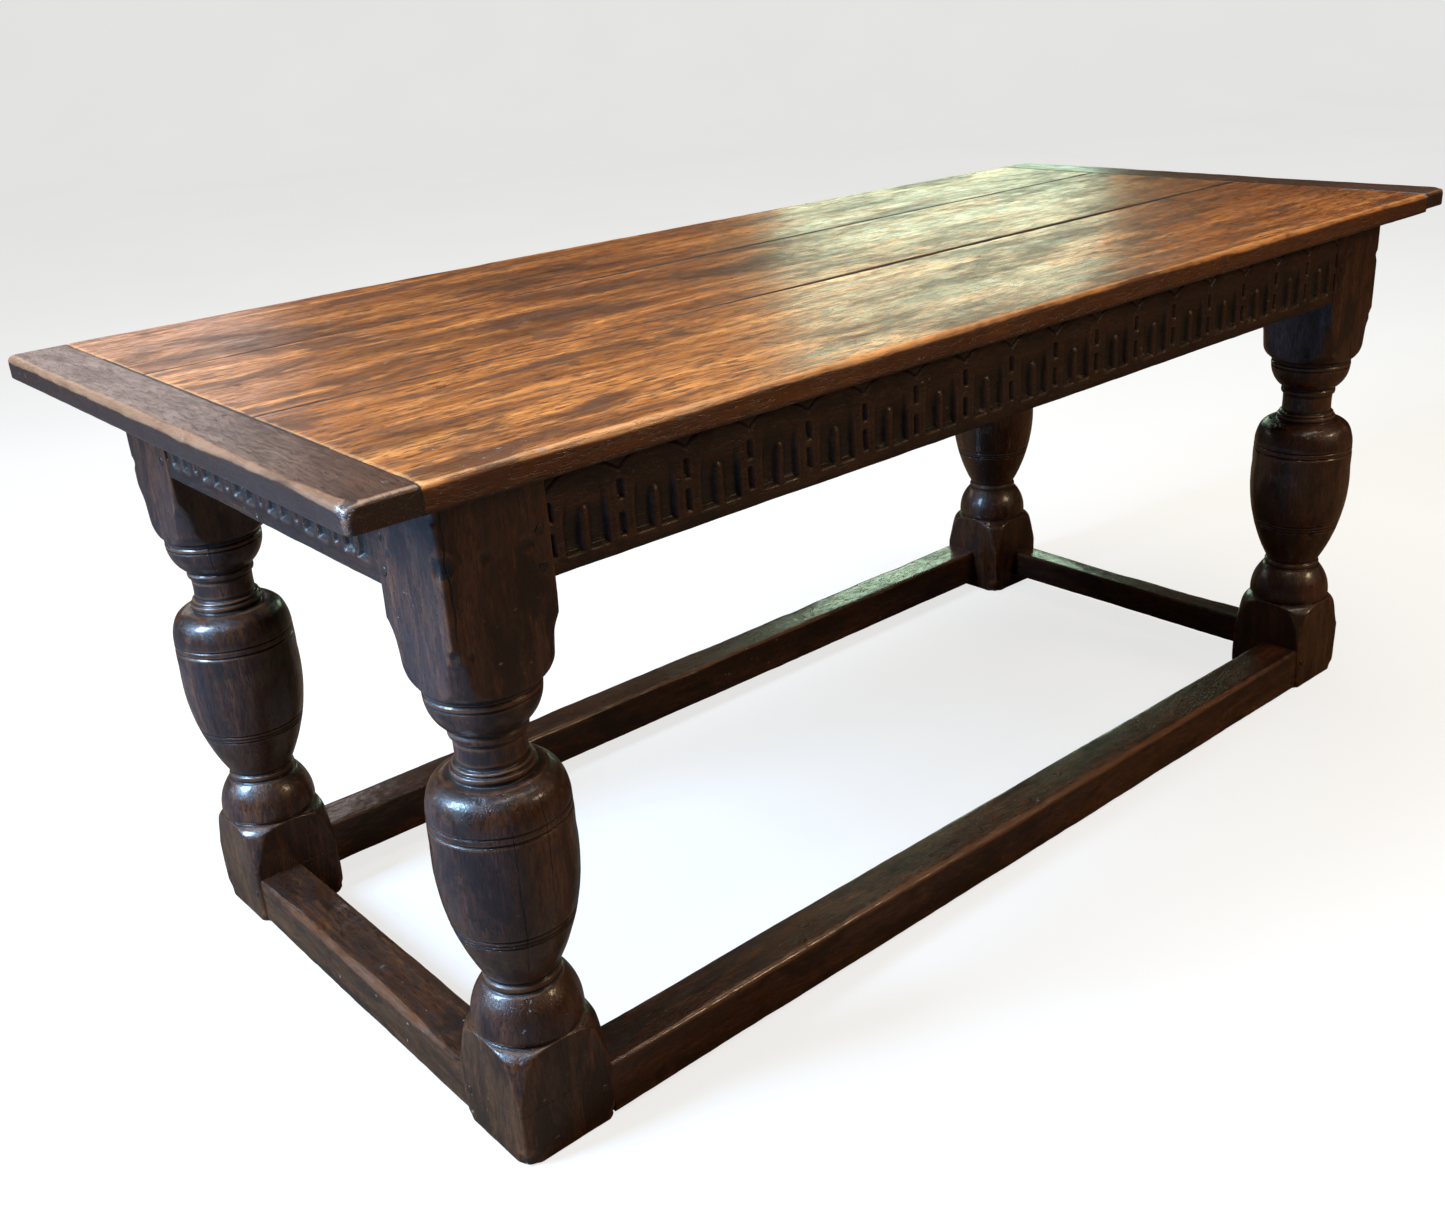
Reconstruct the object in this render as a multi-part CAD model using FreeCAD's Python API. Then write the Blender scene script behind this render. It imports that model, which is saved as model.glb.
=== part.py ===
import FreeCAD, Part
import math
import os

from FreeCAD import Placement, Rotation, Vector

# A joined oak communion table: four turned legs, carved frieze rails, low stretchers and a
# three-board top held flat by a cleat at each end. Millimetres, +X along the length, -Y the
# front, +Z up, origin on the floor under the middle of the top.

# Overall sizes
TABLE_HEIGHT = 790.0
TOP_THICKNESS = 29.0
TOP_LENGTH = 1868.0
TOP_WIDTH = 860.0
BACK_EDGE_TAPER = 52.0  # how much narrower the top is at its right-hand end
BACK_EDGE_BOW = 13.0  # how far the back edge bows out from a straight line between its corners
TOP_CORNER_RADIUS = 9.0
WORN_CORNER_RADIUS = 28.0  # the front right-hand corner, worn well back
TOP_ARRIS_RADIUS = 5.0
UNDER_ARRIS_RADIUS = 2.5

# Boards and end cleats
CLEAT_WIDTH = 71.0
RIGHT_CLEAT_THICKNESS = 25.0  # the right-hand cleat is thinner than the boards it caps
FRONT_JOINT_Y = -106.5
BACK_JOINT_Y = 174.0
FRONT_JOINT_OPENING = 3.4  # widest part of the gap that has opened behind the front board
OPENING_START = -0.45  # ends of that gap, as parts of the boards' half length
OPENING_END = 0.9
TIGHT_JOINT = 0.5
TONGUE_LENGTH = 30.0
TONGUE_THICKNESS = 10.0
TONGUE_END_MARGIN = 22.0

# Legs
LEG_SIZE = 122.0
LEG_CENTRE_X = 771.0
LEG_CENTRE_Y = 319.0
LEG_ARRIS_RADIUS = 3.0
SOLE_CHAMFER = 2.0

# Frieze rails
FRIEZE_LOW_LONG = 646.0
FRIEZE_LOW_END = 643.0
FRIEZE_THICKNESS = 30.0
FRIEZE_SETBACK = 3.0
FRIEZE_TENON_THICKNESS = 12.0
FRIEZE_TENON_SHOULDER = 8.0
BAYS_LONG = 17
BAYS_END = 6

# Carving in each bay of a frieze rail
CARVING_BASE = 665.0
ARCH_WIDTH = 51.5
ARCH_CREST = 739.0
GROUND_DEPTH = 6.0
SILL_DROP = 4.5
STOP_WIDTH = 13.0
STOP_TOP = 706.0
SLOT_WIDTH = 8.0
SLOT_DEPTH = 5.0
LOW_SLOT_HEIGHT = 24.0
HIGH_SLOT_BASE = 700.0
HIGH_SLOT_HEIGHT = 20.0
SCALLOP_CREST = 748.0
SCALLOP_RISE = 17.0
SCALLOP_LINE = 2.4
SCALLOP_DEPTH = 1.8
SCALLOP_GAP = 1.2

# Stretchers
STRETCHER_WIDTH = 64.0
STRETCHER_SETBACK = 3.0
STRETCHER_TOP = 71.0
STRETCHER_TOP_BACK = 76.0
STRETCHER_BASE_FRONT = 3.0
STRETCHER_BASE_LEFT = 7.0
STRETCHER_BASE_BACK = 12.0
NARROW_STRETCHER_WIDTH = 46.0
NARROW_STRETCHER_SETBACK = 18.0
NARROW_STRETCHER_BASE = 22.0
STRETCHER_TENON_THICKNESS = 16.0
STRETCHER_TENON_SHOULDER = 8.0
STRETCHER_ARRIS_RADIUS = 5.0

# Joint fits and pegs
TENON_LENGTH = 50.0
MORTISE_CLEARANCE = 0.3
SHOULDER_GAP = 0.1
PEG_CLEARANCE = 0.1
PEG_PROUD = 0.8
PEG_TAPER = 0.8
RAIL_PEG_RADIUS = 5.5
RAIL_PEG_LENGTH = 42.0
RAIL_PEG_FROM_SHOULDER = 14.0
FRIEZE_PEG_HEIGHTS = (662.0, 697.0)
STRETCHER_PEG_HEIGHT = 46.0
CLEAT_PEG_RADIUS = 4.5
CLEAT_PEG_FROM_JOINT = 14.0
CLEAT_PEGS_PER_BOARD = 2
CLEAT_PEG_INSET = 24.0
TOP_PEG_RADIUS = 6.0
TOP_PEG_DEPTH = 70.0
TOP_PEG_X = (-520.0, 0.0, 520.0)

NEAR = 1.0  # how close an edge must lie to a place to be picked for rounding
UP = Vector(0, 0, 1)
LEG_TOP = TABLE_HEIGHT - TOP_THICKNESS
LEG_HALF = LEG_SIZE / 2
SPAN_LONG = 2 * (LEG_CENTRE_X - LEG_HALF)
SPAN_END = 2 * (LEG_CENTRE_Y - LEG_HALF)


# ---------------------------------------------------------------- small shape helpers

def box(x0, x1, y0, y1, z0, z1):
    return Part.makeBox(x1 - x0, y1 - y0, z1 - z0, Vector(x0, y0, z0))


def turned(shape, angle):
    """The shape turned about the table's vertical axis."""
    placed = shape.copy()
    placed.Placement = Placement(Vector(0, 0, 0), Rotation(UP, angle)).multiply(placed.Placement)
    return placed


def cut_away(shape, cutters):
    """Cut with the cutters that come near the shape."""
    near = [c for c in cutters if c.BoundBox.intersect(shape.BoundBox)]
    return shape.cut(near) if near else shape


def bulged_edge(start, end, bulge):
    """An edge between two (radius, height) points that swells outwards by bulge."""
    a = Vector(start[0], 0, start[1])
    b = Vector(end[0], 0, end[1])
    if bulge == 0:
        return Part.LineSegment(a, b).toShape()
    chord = b - a
    outward = Vector(chord.z, 0, -chord.x).normalize()
    return Part.Arc(a, (a + b) * 0.5 + outward * bulge, b).toShape()


def lathe(start, steps):
    """A solid turned from an outline that climbs from start through (radius, height, bulge) steps."""
    edges = []
    here = start
    for radius, height, bulge in steps:
        edges.append(bulged_edge(here, (radius, height), bulge))
        here = (radius, height)
    edges.append(bulged_edge(here, (0, here[1]), 0))
    edges.append(bulged_edge((0, here[1]), (0, start[1]), 0))
    edges.append(bulged_edge((0, start[1]), start, 0))
    face = Part.Face(Part.Wire(edges))
    return face.revolve(Vector(0, 0, 0), UP, 360)


def ring_groove(radius, height, width=2.2, depth=1.3):
    """The V-section ring that a chisel point leaves on a turning."""
    outer = radius + 1.0
    corners = [
        Vector(outer, 0, height - width),
        Vector(outer, 0, height + width),
        Vector(radius - depth, 0, height),
        Vector(outer, 0, height - width),
    ]
    face = Part.Face(Part.makePolygon(corners))
    return face.revolve(Vector(0, 0, 0), UP, 360)


def arc_radius_at(start, end, bulge, height):
    """The radius of a bulged edge at a height between its ends."""
    half = math.hypot(end[0] - start[0], end[1] - start[1]) / 2
    arc_radius = (half * half + bulge * bulge) / (2 * bulge)
    along = Vector(end[0] - start[0], 0, end[1] - start[1]).normalize()
    centre = Vector((start[0] + end[0]) / 2, 0, (start[1] + end[1]) / 2)
    centre = centre - Vector(along.z, 0, -along.x) * (arc_radius - bulge)
    return centre.x + math.sqrt(arc_radius ** 2 - (height - centre.z) ** 2)


# ---------------------------------------------------------------- legs

WIDE = LEG_SIZE  # wider than the block's corners, so the lathe leaves the block square
BELLY_FOOT = (41.5, 210.0)
BELLY_TOP = (75.6, 372.0)
BELLY_BULGE = 12.0
CUP_TOP = 546.0
TORUS_BASE = 142.0


def square_block(z0, z1):
    """A length of the square leg stock with its four arrises worn round."""
    block = box(-LEG_HALF, LEG_HALF, -LEG_HALF, LEG_HALF, z0, z1)
    upright = [e for e in block.Edges if abs(e.tangentAt(e.FirstParameter).z) > 0.9]
    return block.makeFillet(LEG_ARRIS_RADIUS, upright)


def foot_block():
    """The square foot, with its top corners turned down to the ring above it."""
    shoulders = lathe((WIDE, 0), [
        (WIDE, 76, 0),
        (87, 76, 0),
        (80, 102, 0),
        (74.6, 127.4, 0.3),
        (60, TORUS_BASE, 2.8),
    ])
    block = square_block(0, TORUS_BASE).common(shoulders)
    sole = [e for e in block.Edges if e.BoundBox.ZMax < 0.01]
    return block.makeChamfer(SOLE_CHAMFER, sole)


def head_block():
    """The square head that takes the frieze tenons, turned in below to meet the cup."""
    shoulders = lathe((60, CUP_TOP), [
        (63.5, 547.5, 0),
        (74.5, 564, 2.0),
        (77, 590, 0),
        (87, 614, -1.2),
        (WIDE, 614, 0),
        (WIDE, LEG_TOP, 0),
    ])
    return square_block(CUP_TOP, LEG_TOP).common(shoulders)


def baluster():
    """The turned length between the blocks: ring, waist, bulb, neck and cup."""
    turning = lathe((58.5, TORUS_BASE), [
        (62.3, 152, 1.2),        # swelling ring on the foot
        (44.5, 197, 4.5),
        (42.6, 197.6, 0),        # waist collar
        (42.6, 206.5, 0.8),
        (41.0, 207.3, 0),
        (41.0, 209.6, 0),
        (BELLY_FOOT[0], BELLY_FOOT[1], 0),
        (BELLY_TOP[0], BELLY_TOP[1], BELLY_BULGE),
        (75.2, 404, 0.4),        # shoulder of the bulb
        (70, 431, 1.5),
        (47, 446, 4.2),
        (44.6, 446.4, 0),        # neck collar, two rings
        (44.6, 454.4, 0.6),
        (41.8, 455.4, 0),
        (41.6, 459.6, 0.5),
        (38.4, 460.4, 0),        # neck
        (38.6, 489, -0.9),
        (41.2, 490, 0),
        (41.2, 498.4, 0.5),
        (40.6, 499.2, 0),        # cup
        (59.6, 532, 4.2),
        (60, CUP_TOP, 0.4),
    ])
    grooves = [
        ring_groove(arc_radius_at(BELLY_FOOT, BELLY_TOP, BELLY_BULGE, height), height)
        for height in (271.0, 275.5, 281.0)
    ]
    grooves += [ring_groove(75.4, height) for height in (397.0, 405.5)]
    grooves += [ring_groove(59.9, height) for height in (534.0, 541.0)]
    return turning.cut(grooves)


def leg_blank():
    return foot_block().fuse([baluster(), head_block()]).removeSplitter()


# ---------------------------------------------------------------- rails in their own place

def tenoned_bar(span, width, base, top, tenon_thickness, shoulder):
    """A bar along X with a tenon at each end; its outer face is at y = 0, its back at y = width."""
    half = span / 2 - SHOULDER_GAP
    bar = box(-half, half, 0, width, base, top)
    middle = width / 2
    tenon = box(
        -half - TENON_LENGTH, half + TENON_LENGTH,
        middle - tenon_thickness / 2, middle + tenon_thickness / 2,
        base + shoulder, top - shoulder,
    )
    return bar.fuse(tenon).removeSplitter()


def mortise_cutter(width, base, top, tenon_thickness, shoulder):
    """The socket for one tenon: enters at x = 0 and runs towards -X, lined up with tenoned_bar."""
    slack = MORTISE_CLEARANCE
    middle = width / 2
    return box(
        -TENON_LENGTH - 2, 1,
        middle - tenon_thickness / 2 - slack, middle + tenon_thickness / 2 + slack,
        base + shoulder - slack, top - shoulder + slack,
    )


def peg(radius, length, clearance=0.0):
    """A slightly tapered peg that runs towards +Y from just proud of y = 0."""
    return Part.makeCone(
        radius + clearance, radius - PEG_TAPER + clearance, length + PEG_PROUD + clearance,
        Vector(0, -PEG_PROUD, 0), Vector(0, 1, 0),
    )


def arch_ground(centre):
    """The sunk ground of one bay: an arch-headed recess round a round-topped stop."""
    half = ARCH_WIDTH / 2
    spring = ARCH_CREST - half
    into = Vector(0, 1, 0)
    recess = box(centre - half, centre + half, -1, GROUND_DEPTH, CARVING_BASE, spring)
    head = Part.makeCylinder(half, GROUND_DEPTH + 1, Vector(centre, -1, spring), into)
    sill = Part.Face(Part.makePolygon([
        Vector(centre - half, -1, CARVING_BASE - SILL_DROP),
        Vector(centre - half, 0, CARVING_BASE - SILL_DROP),
        Vector(centre - half, GROUND_DEPTH, CARVING_BASE),
        Vector(centre - half, -1, CARVING_BASE),
        Vector(centre - half, -1, CARVING_BASE - SILL_DROP),
    ])).extrude(Vector(ARCH_WIDTH, 0, 0))
    radius = STOP_WIDTH / 2
    foot = CARVING_BASE - SILL_DROP - 1
    stop = Part.makeCylinder(radius, STOP_TOP - radius - foot, Vector(centre, radius, foot))
    cap = Part.makeSphere(radius, Vector(centre, radius, STOP_TOP - radius))
    return recess.fuse([head, sill]).cut([stop, cap])


def pillar_slots(centre):
    """The two sunk slots in the pillar between two bays."""
    half = SLOT_WIDTH / 2
    return [
        box(centre - half, centre + half, -1, SLOT_DEPTH, base, base + height)
        for base, height in ((CARVING_BASE, LOW_SLOT_HEIGHT), (HIGH_SLOT_BASE, HIGH_SLOT_HEIGHT))
    ]


def scallop_line(centre, bay):
    """The scratched line that arches over one bay."""
    chord = bay / 2
    radius = (chord * chord + SCALLOP_RISE * SCALLOP_RISE) / (2 * SCALLOP_RISE)
    hub = SCALLOP_CREST - radius
    reach = chord - SCALLOP_GAP
    outer = radius + SCALLOP_LINE / 2
    inner = radius - SCALLOP_LINE / 2
    into = Vector(0, 1, 0)
    depth = SCALLOP_DEPTH + 1
    ring = Part.makeCylinder(outer, depth, Vector(centre, -1, hub), into)
    ring = ring.cut(Part.makeCylinder(inner, depth, Vector(centre, -1, hub), into))
    above = box(centre - reach, centre + reach, -2, depth, hub, SCALLOP_CREST + SCALLOP_LINE)
    return ring.common(above)


def frieze_rail(span, bays, base):
    """A frieze rail with its arcade carved into the outer face."""
    rail = tenoned_bar(
        span, FRIEZE_THICKNESS, base, LEG_TOP, FRIEZE_TENON_THICKNESS, FRIEZE_TENON_SHOULDER,
    )
    bay = span / bays
    cutters = []
    for i in range(bays):
        centre = (i + 0.5) * bay - span / 2
        cutters.append(arch_ground(centre))
        cutters.append(scallop_line(centre, bay))
    for i in range(bays + 1):
        cutters += pillar_slots(i * bay - span / 2)
    return rail.cut(cutters)


def stretcher(span, width, base, top):
    """A low rail with its two upper arrises worn round."""
    bar = tenoned_bar(
        span, width, base, top, STRETCHER_TENON_THICKNESS, STRETCHER_TENON_SHOULDER,
    )
    half = span / 2 - SHOULDER_GAP
    worn = [
        e for e in bar.Edges
        if e.BoundBox.ZMin > top - 0.01 and e.BoundBox.XLength > 2 * half - 1
    ]
    return bar.makeFillet(STRETCHER_ARRIS_RADIUS, worn)


# ---------------------------------------------------------------- where the four sides stand

def side_frame(side):
    """The turn and span of a side: each rail is drawn as a front rail, then turned into place."""
    turns = {"front": 0, "right": 90, "back": 180, "left": 270}
    if side in ("front", "back"):
        return turns[side], SPAN_LONG, LEG_CENTRE_Y + LEG_HALF
    return turns[side], SPAN_END, LEG_CENTRE_X + LEG_HALF


def on_side(shape, side, setback, slide=0.0):
    """Move a shape drawn with its outer face at y = 0 onto one side of the table."""
    angle, _, reach = side_frame(side)
    shifted = shape.copy()
    shifted.translate(Vector(slide, setback - reach, 0))
    return turned(shifted, angle)


def frieze_base(side):
    return FRIEZE_LOW_LONG if side in ("front", "back") else FRIEZE_LOW_END


def stretcher_form(side):
    """Width, setback, underside height and upper height of a side's stretcher."""
    if side == "right":
        return NARROW_STRETCHER_WIDTH, NARROW_STRETCHER_SETBACK, NARROW_STRETCHER_BASE, STRETCHER_TOP
    if side == "back":
        return STRETCHER_WIDTH, STRETCHER_SETBACK, STRETCHER_BASE_BACK, STRETCHER_TOP_BACK
    base = STRETCHER_BASE_FRONT if side == "front" else STRETCHER_BASE_LEFT
    return STRETCHER_WIDTH, STRETCHER_SETBACK, base, STRETCHER_TOP


SIDES = ("front", "back", "left", "right")
ENDS_OF_RAIL = (-1, 1)


def side_mortises(side):
    """The four sockets that one side's two rails need in its two legs."""
    _, span, _ = side_frame(side)
    width, setback, base, top = stretcher_form(side)
    low = mortise_cutter(
        width, base, top, STRETCHER_TENON_THICKNESS, STRETCHER_TENON_SHOULDER,
    )
    high = mortise_cutter(
        FRIEZE_THICKNESS, frieze_base(side), LEG_TOP, FRIEZE_TENON_THICKNESS, FRIEZE_TENON_SHOULDER,
    )
    sockets = []
    for socket, inset in ((low, setback), (high, FRIEZE_SETBACK)):
        sockets.append(on_side(socket, side, inset, -span / 2))
        mirrored = socket.mirror(Vector(0, 0, 0), Vector(1, 0, 0))
        sockets.append(on_side(mirrored, side, inset, span / 2))
    return sockets


def side_pegs(side, heights, clearance=0.0):
    """The pegs of one side at the given heights, through the legs' outer faces."""
    _, span, _ = side_frame(side)
    pegs = []
    for end in ENDS_OF_RAIL:
        for height in heights:
            one = peg(RAIL_PEG_RADIUS, RAIL_PEG_LENGTH, clearance)
            one.translate(Vector(0, 0, height))
            pegs.append(on_side(one, side, 0, end * (span / 2 + RAIL_PEG_FROM_SHOULDER)))
    return pegs


def rail_peg_holes():
    holes = []
    for side in SIDES:
        holes += side_pegs(side, FRIEZE_PEG_HEIGHTS + (STRETCHER_PEG_HEIGHT,), PEG_CLEARANCE)
    return holes


# ---------------------------------------------------------------- top

def back_edge_y(x):
    """The straight line between the top's back corners, which runs in at the right-hand end."""
    return TOP_WIDTH / 2 - BACK_EDGE_TAPER * (x + TOP_LENGTH / 2) / TOP_LENGTH


def top_outline(z):
    """The plan of the whole top, with its bowed back edge."""
    half = TOP_LENGTH / 2
    front = -TOP_WIDTH / 2
    corners = [
        Vector(-half, back_edge_y(-half), z),
        Vector(-half, front, z),
        Vector(half, front, z),
        Vector(half, back_edge_y(half), z),
    ]
    crown = Vector(0, back_edge_y(0) + BACK_EDGE_BOW, z)
    edges = [Part.LineSegment(a, b).toShape() for a, b in zip(corners, corners[1:])]
    edges.append(Part.Arc(corners[3], crown, corners[0]).toShape())
    return Part.Face(Part.Wire(edges))


def corner_edges(slab, worn):
    """The slab's upright corner edges: the worn front right-hand one, or the other three."""
    chosen = []
    for edge in slab.Edges:
        bounds = edge.BoundBox
        at_right = bounds.XMin > TOP_LENGTH / 2 - NEAR
        at_left = bounds.XMax < NEAR - TOP_LENGTH / 2
        at_front = bounds.YMax < NEAR - TOP_WIDTH / 2
        if worn:
            wanted = at_right and at_front
        else:
            wanted = at_left or (at_right and bounds.YMin > 0)
        if bounds.ZLength > NEAR and wanted:
            chosen.append(edge)
    return chosen


def top_slab(thickness):
    """The whole top as one slab, with worn corners and arrises."""
    under = TABLE_HEIGHT - thickness
    slab = top_outline(under).extrude(UP * thickness)
    slab = slab.makeFillet(WORN_CORNER_RADIUS, corner_edges(slab, True))
    slab = slab.makeFillet(TOP_CORNER_RADIUS, corner_edges(slab, False))
    above = [e for e in slab.Edges if e.BoundBox.ZMin > TABLE_HEIGHT - 0.01]
    slab = slab.makeFillet(TOP_ARRIS_RADIUS, above)
    below = [e for e in slab.Edges if e.BoundBox.ZMax < under + 0.01]
    return slab.makeFillet(UNDER_ARRIS_RADIUS, below)


def board_limits():
    """Front and back edge of each board, in Y, from front to back."""
    edge = TOP_WIDTH / 2
    gap = TIGHT_JOINT / 2
    return {
        "front": (-edge, FRONT_JOINT_Y - gap),
        "middle": (FRONT_JOINT_Y + gap, BACK_JOINT_Y - gap),
        "back": (BACK_JOINT_Y + gap, edge),
    }


def opened_joint():
    """The sliver lost from the middle board's front edge where the joint has opened."""
    reach = TOP_LENGTH / 2 - CLEAT_WIDTH
    y = FRONT_JOINT_Y + TIGHT_JOINT / 2
    left = Vector(OPENING_START * reach, y, LEG_TOP - 1)
    right = Vector(OPENING_END * reach, y, LEG_TOP - 1)
    crown = (left + right) * 0.5 + Vector(0, FRONT_JOINT_OPENING - TIGHT_JOINT, 0)
    edges = [Part.Arc(left, crown, right).toShape(), Part.LineSegment(right, left).toShape()]
    return Part.Face(Part.Wire(edges)).extrude(UP * (TOP_THICKNESS + 2))


def board(slab, name):
    """One board of the top, with a tongue at each end for the cleats."""
    y0, y1 = board_limits()[name]
    reach = TOP_LENGTH / 2 - CLEAT_WIDTH
    plank = slab.common(box(-reach, reach, y0, y1, LEG_TOP - 1, TABLE_HEIGHT + 1))
    if name == "middle":
        plank = plank.cut(opened_joint())
    z = LEG_TOP + (TOP_THICKNESS - TONGUE_THICKNESS) / 2
    margin = TONGUE_END_MARGIN
    back = min(y1, back_edge_y(reach + TONGUE_LENGTH)) if name == "back" else y1
    for end in ENDS_OF_RAIL:
        x0, x1 = sorted((end * (reach - 1), end * (reach + TONGUE_LENGTH)))
        tongue = box(x0, x1, y0 + margin, back - margin, z, z + TONGUE_THICKNESS)
        plank = plank.fuse(tongue)
    return plank.removeSplitter()


def cleat_thickness(end):
    """Thickness of the cleat at one end of the top; end is -1 at the left and 1 at the right."""
    return RIGHT_CLEAT_THICKNESS if end > 0 else TOP_THICKNESS


def cleat(end):
    """The cross-piece that caps the boards' ends; end is -1 at the left and 1 at the right."""
    joint = end * (TOP_LENGTH / 2 - CLEAT_WIDTH + 2 * SHOULDER_GAP)
    tip = end * (TOP_LENGTH / 2 + 1)
    x0, x1 = sorted((joint, tip))
    edge = TOP_WIDTH / 2
    slab = top_slab(cleat_thickness(end))
    piece = slab.common(box(x0, x1, -edge, edge, LEG_TOP - 1, TABLE_HEIGHT + 1))
    slack = MORTISE_CLEARANCE
    z = LEG_TOP + (TOP_THICKNESS - TONGUE_THICKNESS) / 2
    margin = TONGUE_END_MARGIN - 2
    bottom = end * (TOP_LENGTH / 2 - CLEAT_WIDTH + TONGUE_LENGTH + 2)
    g0, g1 = sorted((joint - end, bottom))
    groove = box(
        g0, g1, -edge + margin, back_edge_y(joint) - margin,
        z - slack, z + TONGUE_THICKNESS + slack,
    )
    return piece.cut(groove)


def cleat_peg_places():
    """Where the pegs stand that lock the boards' tongues in the cleats."""
    x = TOP_LENGTH / 2 - CLEAT_WIDTH + CLEAT_PEG_FROM_JOINT
    places = []
    for end in ENDS_OF_RAIL:
        for name, (y0, y1) in board_limits().items():
            back = back_edge_y(end * x) if name == "back" else y1
            first = y0 + TONGUE_END_MARGIN + CLEAT_PEG_INSET / 2
            last = back - TONGUE_END_MARGIN - CLEAT_PEG_INSET / 2
            for i in range(CLEAT_PEGS_PER_BOARD):
                step = (last - first) / (CLEAT_PEGS_PER_BOARD - 1)
                places.append((end * x, first + i * step))
    return places


def top_peg_places():
    """Where the pegs stand that pin the boards down to the frieze rails."""
    rail_middle = FRIEZE_SETBACK + FRIEZE_THICKNESS / 2
    y = LEG_CENTRE_Y + LEG_HALF - rail_middle
    x = LEG_CENTRE_X + LEG_HALF - rail_middle
    middle = (FRONT_JOINT_Y + BACK_JOINT_Y) / 2
    places = [(px, side * y) for side in (-1, 1) for px in TOP_PEG_X]
    return places + [(-x, middle), (x, middle)]


def upright_peg(place, radius, length, clearance=0.0):
    """A peg driven straight down from the table's top surface."""
    x, y = place
    return Part.makeCone(
        radius + clearance, radius - PEG_TAPER + clearance, length + clearance,
        Vector(x, y, TABLE_HEIGHT), Vector(0, 0, -1),
    )


def cleat_pegs(clearance=0.0):
    return [
        upright_peg(place, CLEAT_PEG_RADIUS, cleat_thickness(place[0]), clearance)
        for place in cleat_peg_places()
    ]


def top_pegs(clearance=0.0):
    return [upright_peg(p, TOP_PEG_RADIUS, TOP_PEG_DEPTH, clearance) for p in top_peg_places()]


# ---------------------------------------------------------------- build and write

def build_legs():
    blank = leg_blank()
    cutters = rail_peg_holes()
    for side in SIDES:
        cutters += side_mortises(side)
    legs = {}
    for row, sy in (("front", -1), ("back", 1)):
        for end, sx in (("left", -1), ("right", 1)):
            leg = blank.copy()
            leg.translate(Vector(sx * LEG_CENTRE_X, sy * LEG_CENTRE_Y, 0))
            legs["leg_" + row + "_" + end] = cut_away(leg, cutters)
    return legs


def build_rails():
    rails = {}
    drilled = rail_peg_holes() + top_pegs(PEG_CLEARANCE)
    for side in SIDES:
        _, span, _ = side_frame(side)
        bays = BAYS_LONG if side in ("front", "back") else BAYS_END
        frieze = on_side(frieze_rail(span, bays, frieze_base(side)), side, FRIEZE_SETBACK)
        width, setback, base, top = stretcher_form(side)
        low_rail = on_side(stretcher(span, width, base, top), side, setback)
        rails["frieze_" + side] = cut_away(frieze, drilled)
        rails["stretcher_" + side] = cut_away(low_rail, drilled)
    return rails


def build_top():
    slab = top_slab(TOP_THICKNESS)
    holes = cleat_pegs(PEG_CLEARANCE) + top_pegs(PEG_CLEARANCE)
    pieces = {}
    for name in board_limits():
        pieces["top_board_" + name] = cut_away(board(slab, name), holes)
    pieces["end_cleat_left"] = cut_away(cleat(-1), holes)
    pieces["end_cleat_right"] = cut_away(cleat(1), holes)
    return pieces


def build_pegs():
    frieze = []
    low = []
    for side in SIDES:
        frieze += side_pegs(side, FRIEZE_PEG_HEIGHTS)
        low += side_pegs(side, (STRETCHER_PEG_HEIGHT,))
    return {
        "frieze_pegs": Part.makeCompound(frieze),
        "stretcher_pegs": Part.makeCompound(low),
        "cleat_pegs": Part.makeCompound(cleat_pegs()),
        "top_pegs": Part.makeCompound(top_pegs()),
    }


def main():
    os.makedirs("parts", exist_ok=True)
    for build in (build_legs, build_rails, build_top, build_pegs):
        for name, shape in build().items():
            shape.exportStep("parts/" + name + ".step")


main()
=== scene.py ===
import functools
import math

import bmesh
import bpy
import numpy as np
from mathutils import Matrix, Vector
from mathutils.bvhtree import BVHTree


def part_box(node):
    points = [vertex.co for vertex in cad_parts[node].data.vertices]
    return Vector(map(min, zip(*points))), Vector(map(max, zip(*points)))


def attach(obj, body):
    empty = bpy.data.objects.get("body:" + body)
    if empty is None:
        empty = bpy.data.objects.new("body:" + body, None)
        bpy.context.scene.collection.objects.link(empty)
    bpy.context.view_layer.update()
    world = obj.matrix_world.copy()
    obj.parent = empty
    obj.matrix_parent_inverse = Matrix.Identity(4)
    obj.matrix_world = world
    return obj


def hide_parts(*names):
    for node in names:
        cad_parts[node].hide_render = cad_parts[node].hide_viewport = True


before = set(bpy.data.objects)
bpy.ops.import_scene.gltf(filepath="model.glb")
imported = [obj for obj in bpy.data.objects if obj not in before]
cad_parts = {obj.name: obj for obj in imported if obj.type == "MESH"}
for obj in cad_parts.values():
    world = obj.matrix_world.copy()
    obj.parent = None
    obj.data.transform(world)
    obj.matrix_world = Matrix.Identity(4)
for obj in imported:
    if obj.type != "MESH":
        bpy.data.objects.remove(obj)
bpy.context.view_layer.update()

# Metres, in the row frame: +X along the table, -Y the front, +Z up.
MM = 0.001


# ---------------------------------------------------------------- noise

# These numbers only scramble whole numbers
CELL_PRIMES = (374761393, 668265263, 2246822519)
SEED_PRIME = 3266489917
MIXERS = ((13, 1274126177), (15, 2654435761))
LAST_SHIFT = 16
OCTAVE_STEP = 2.03  # how much finer each octave is than the last
OCTAVE_SEED_STEP = 57
SEED_SHIFT = 13.7


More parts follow.
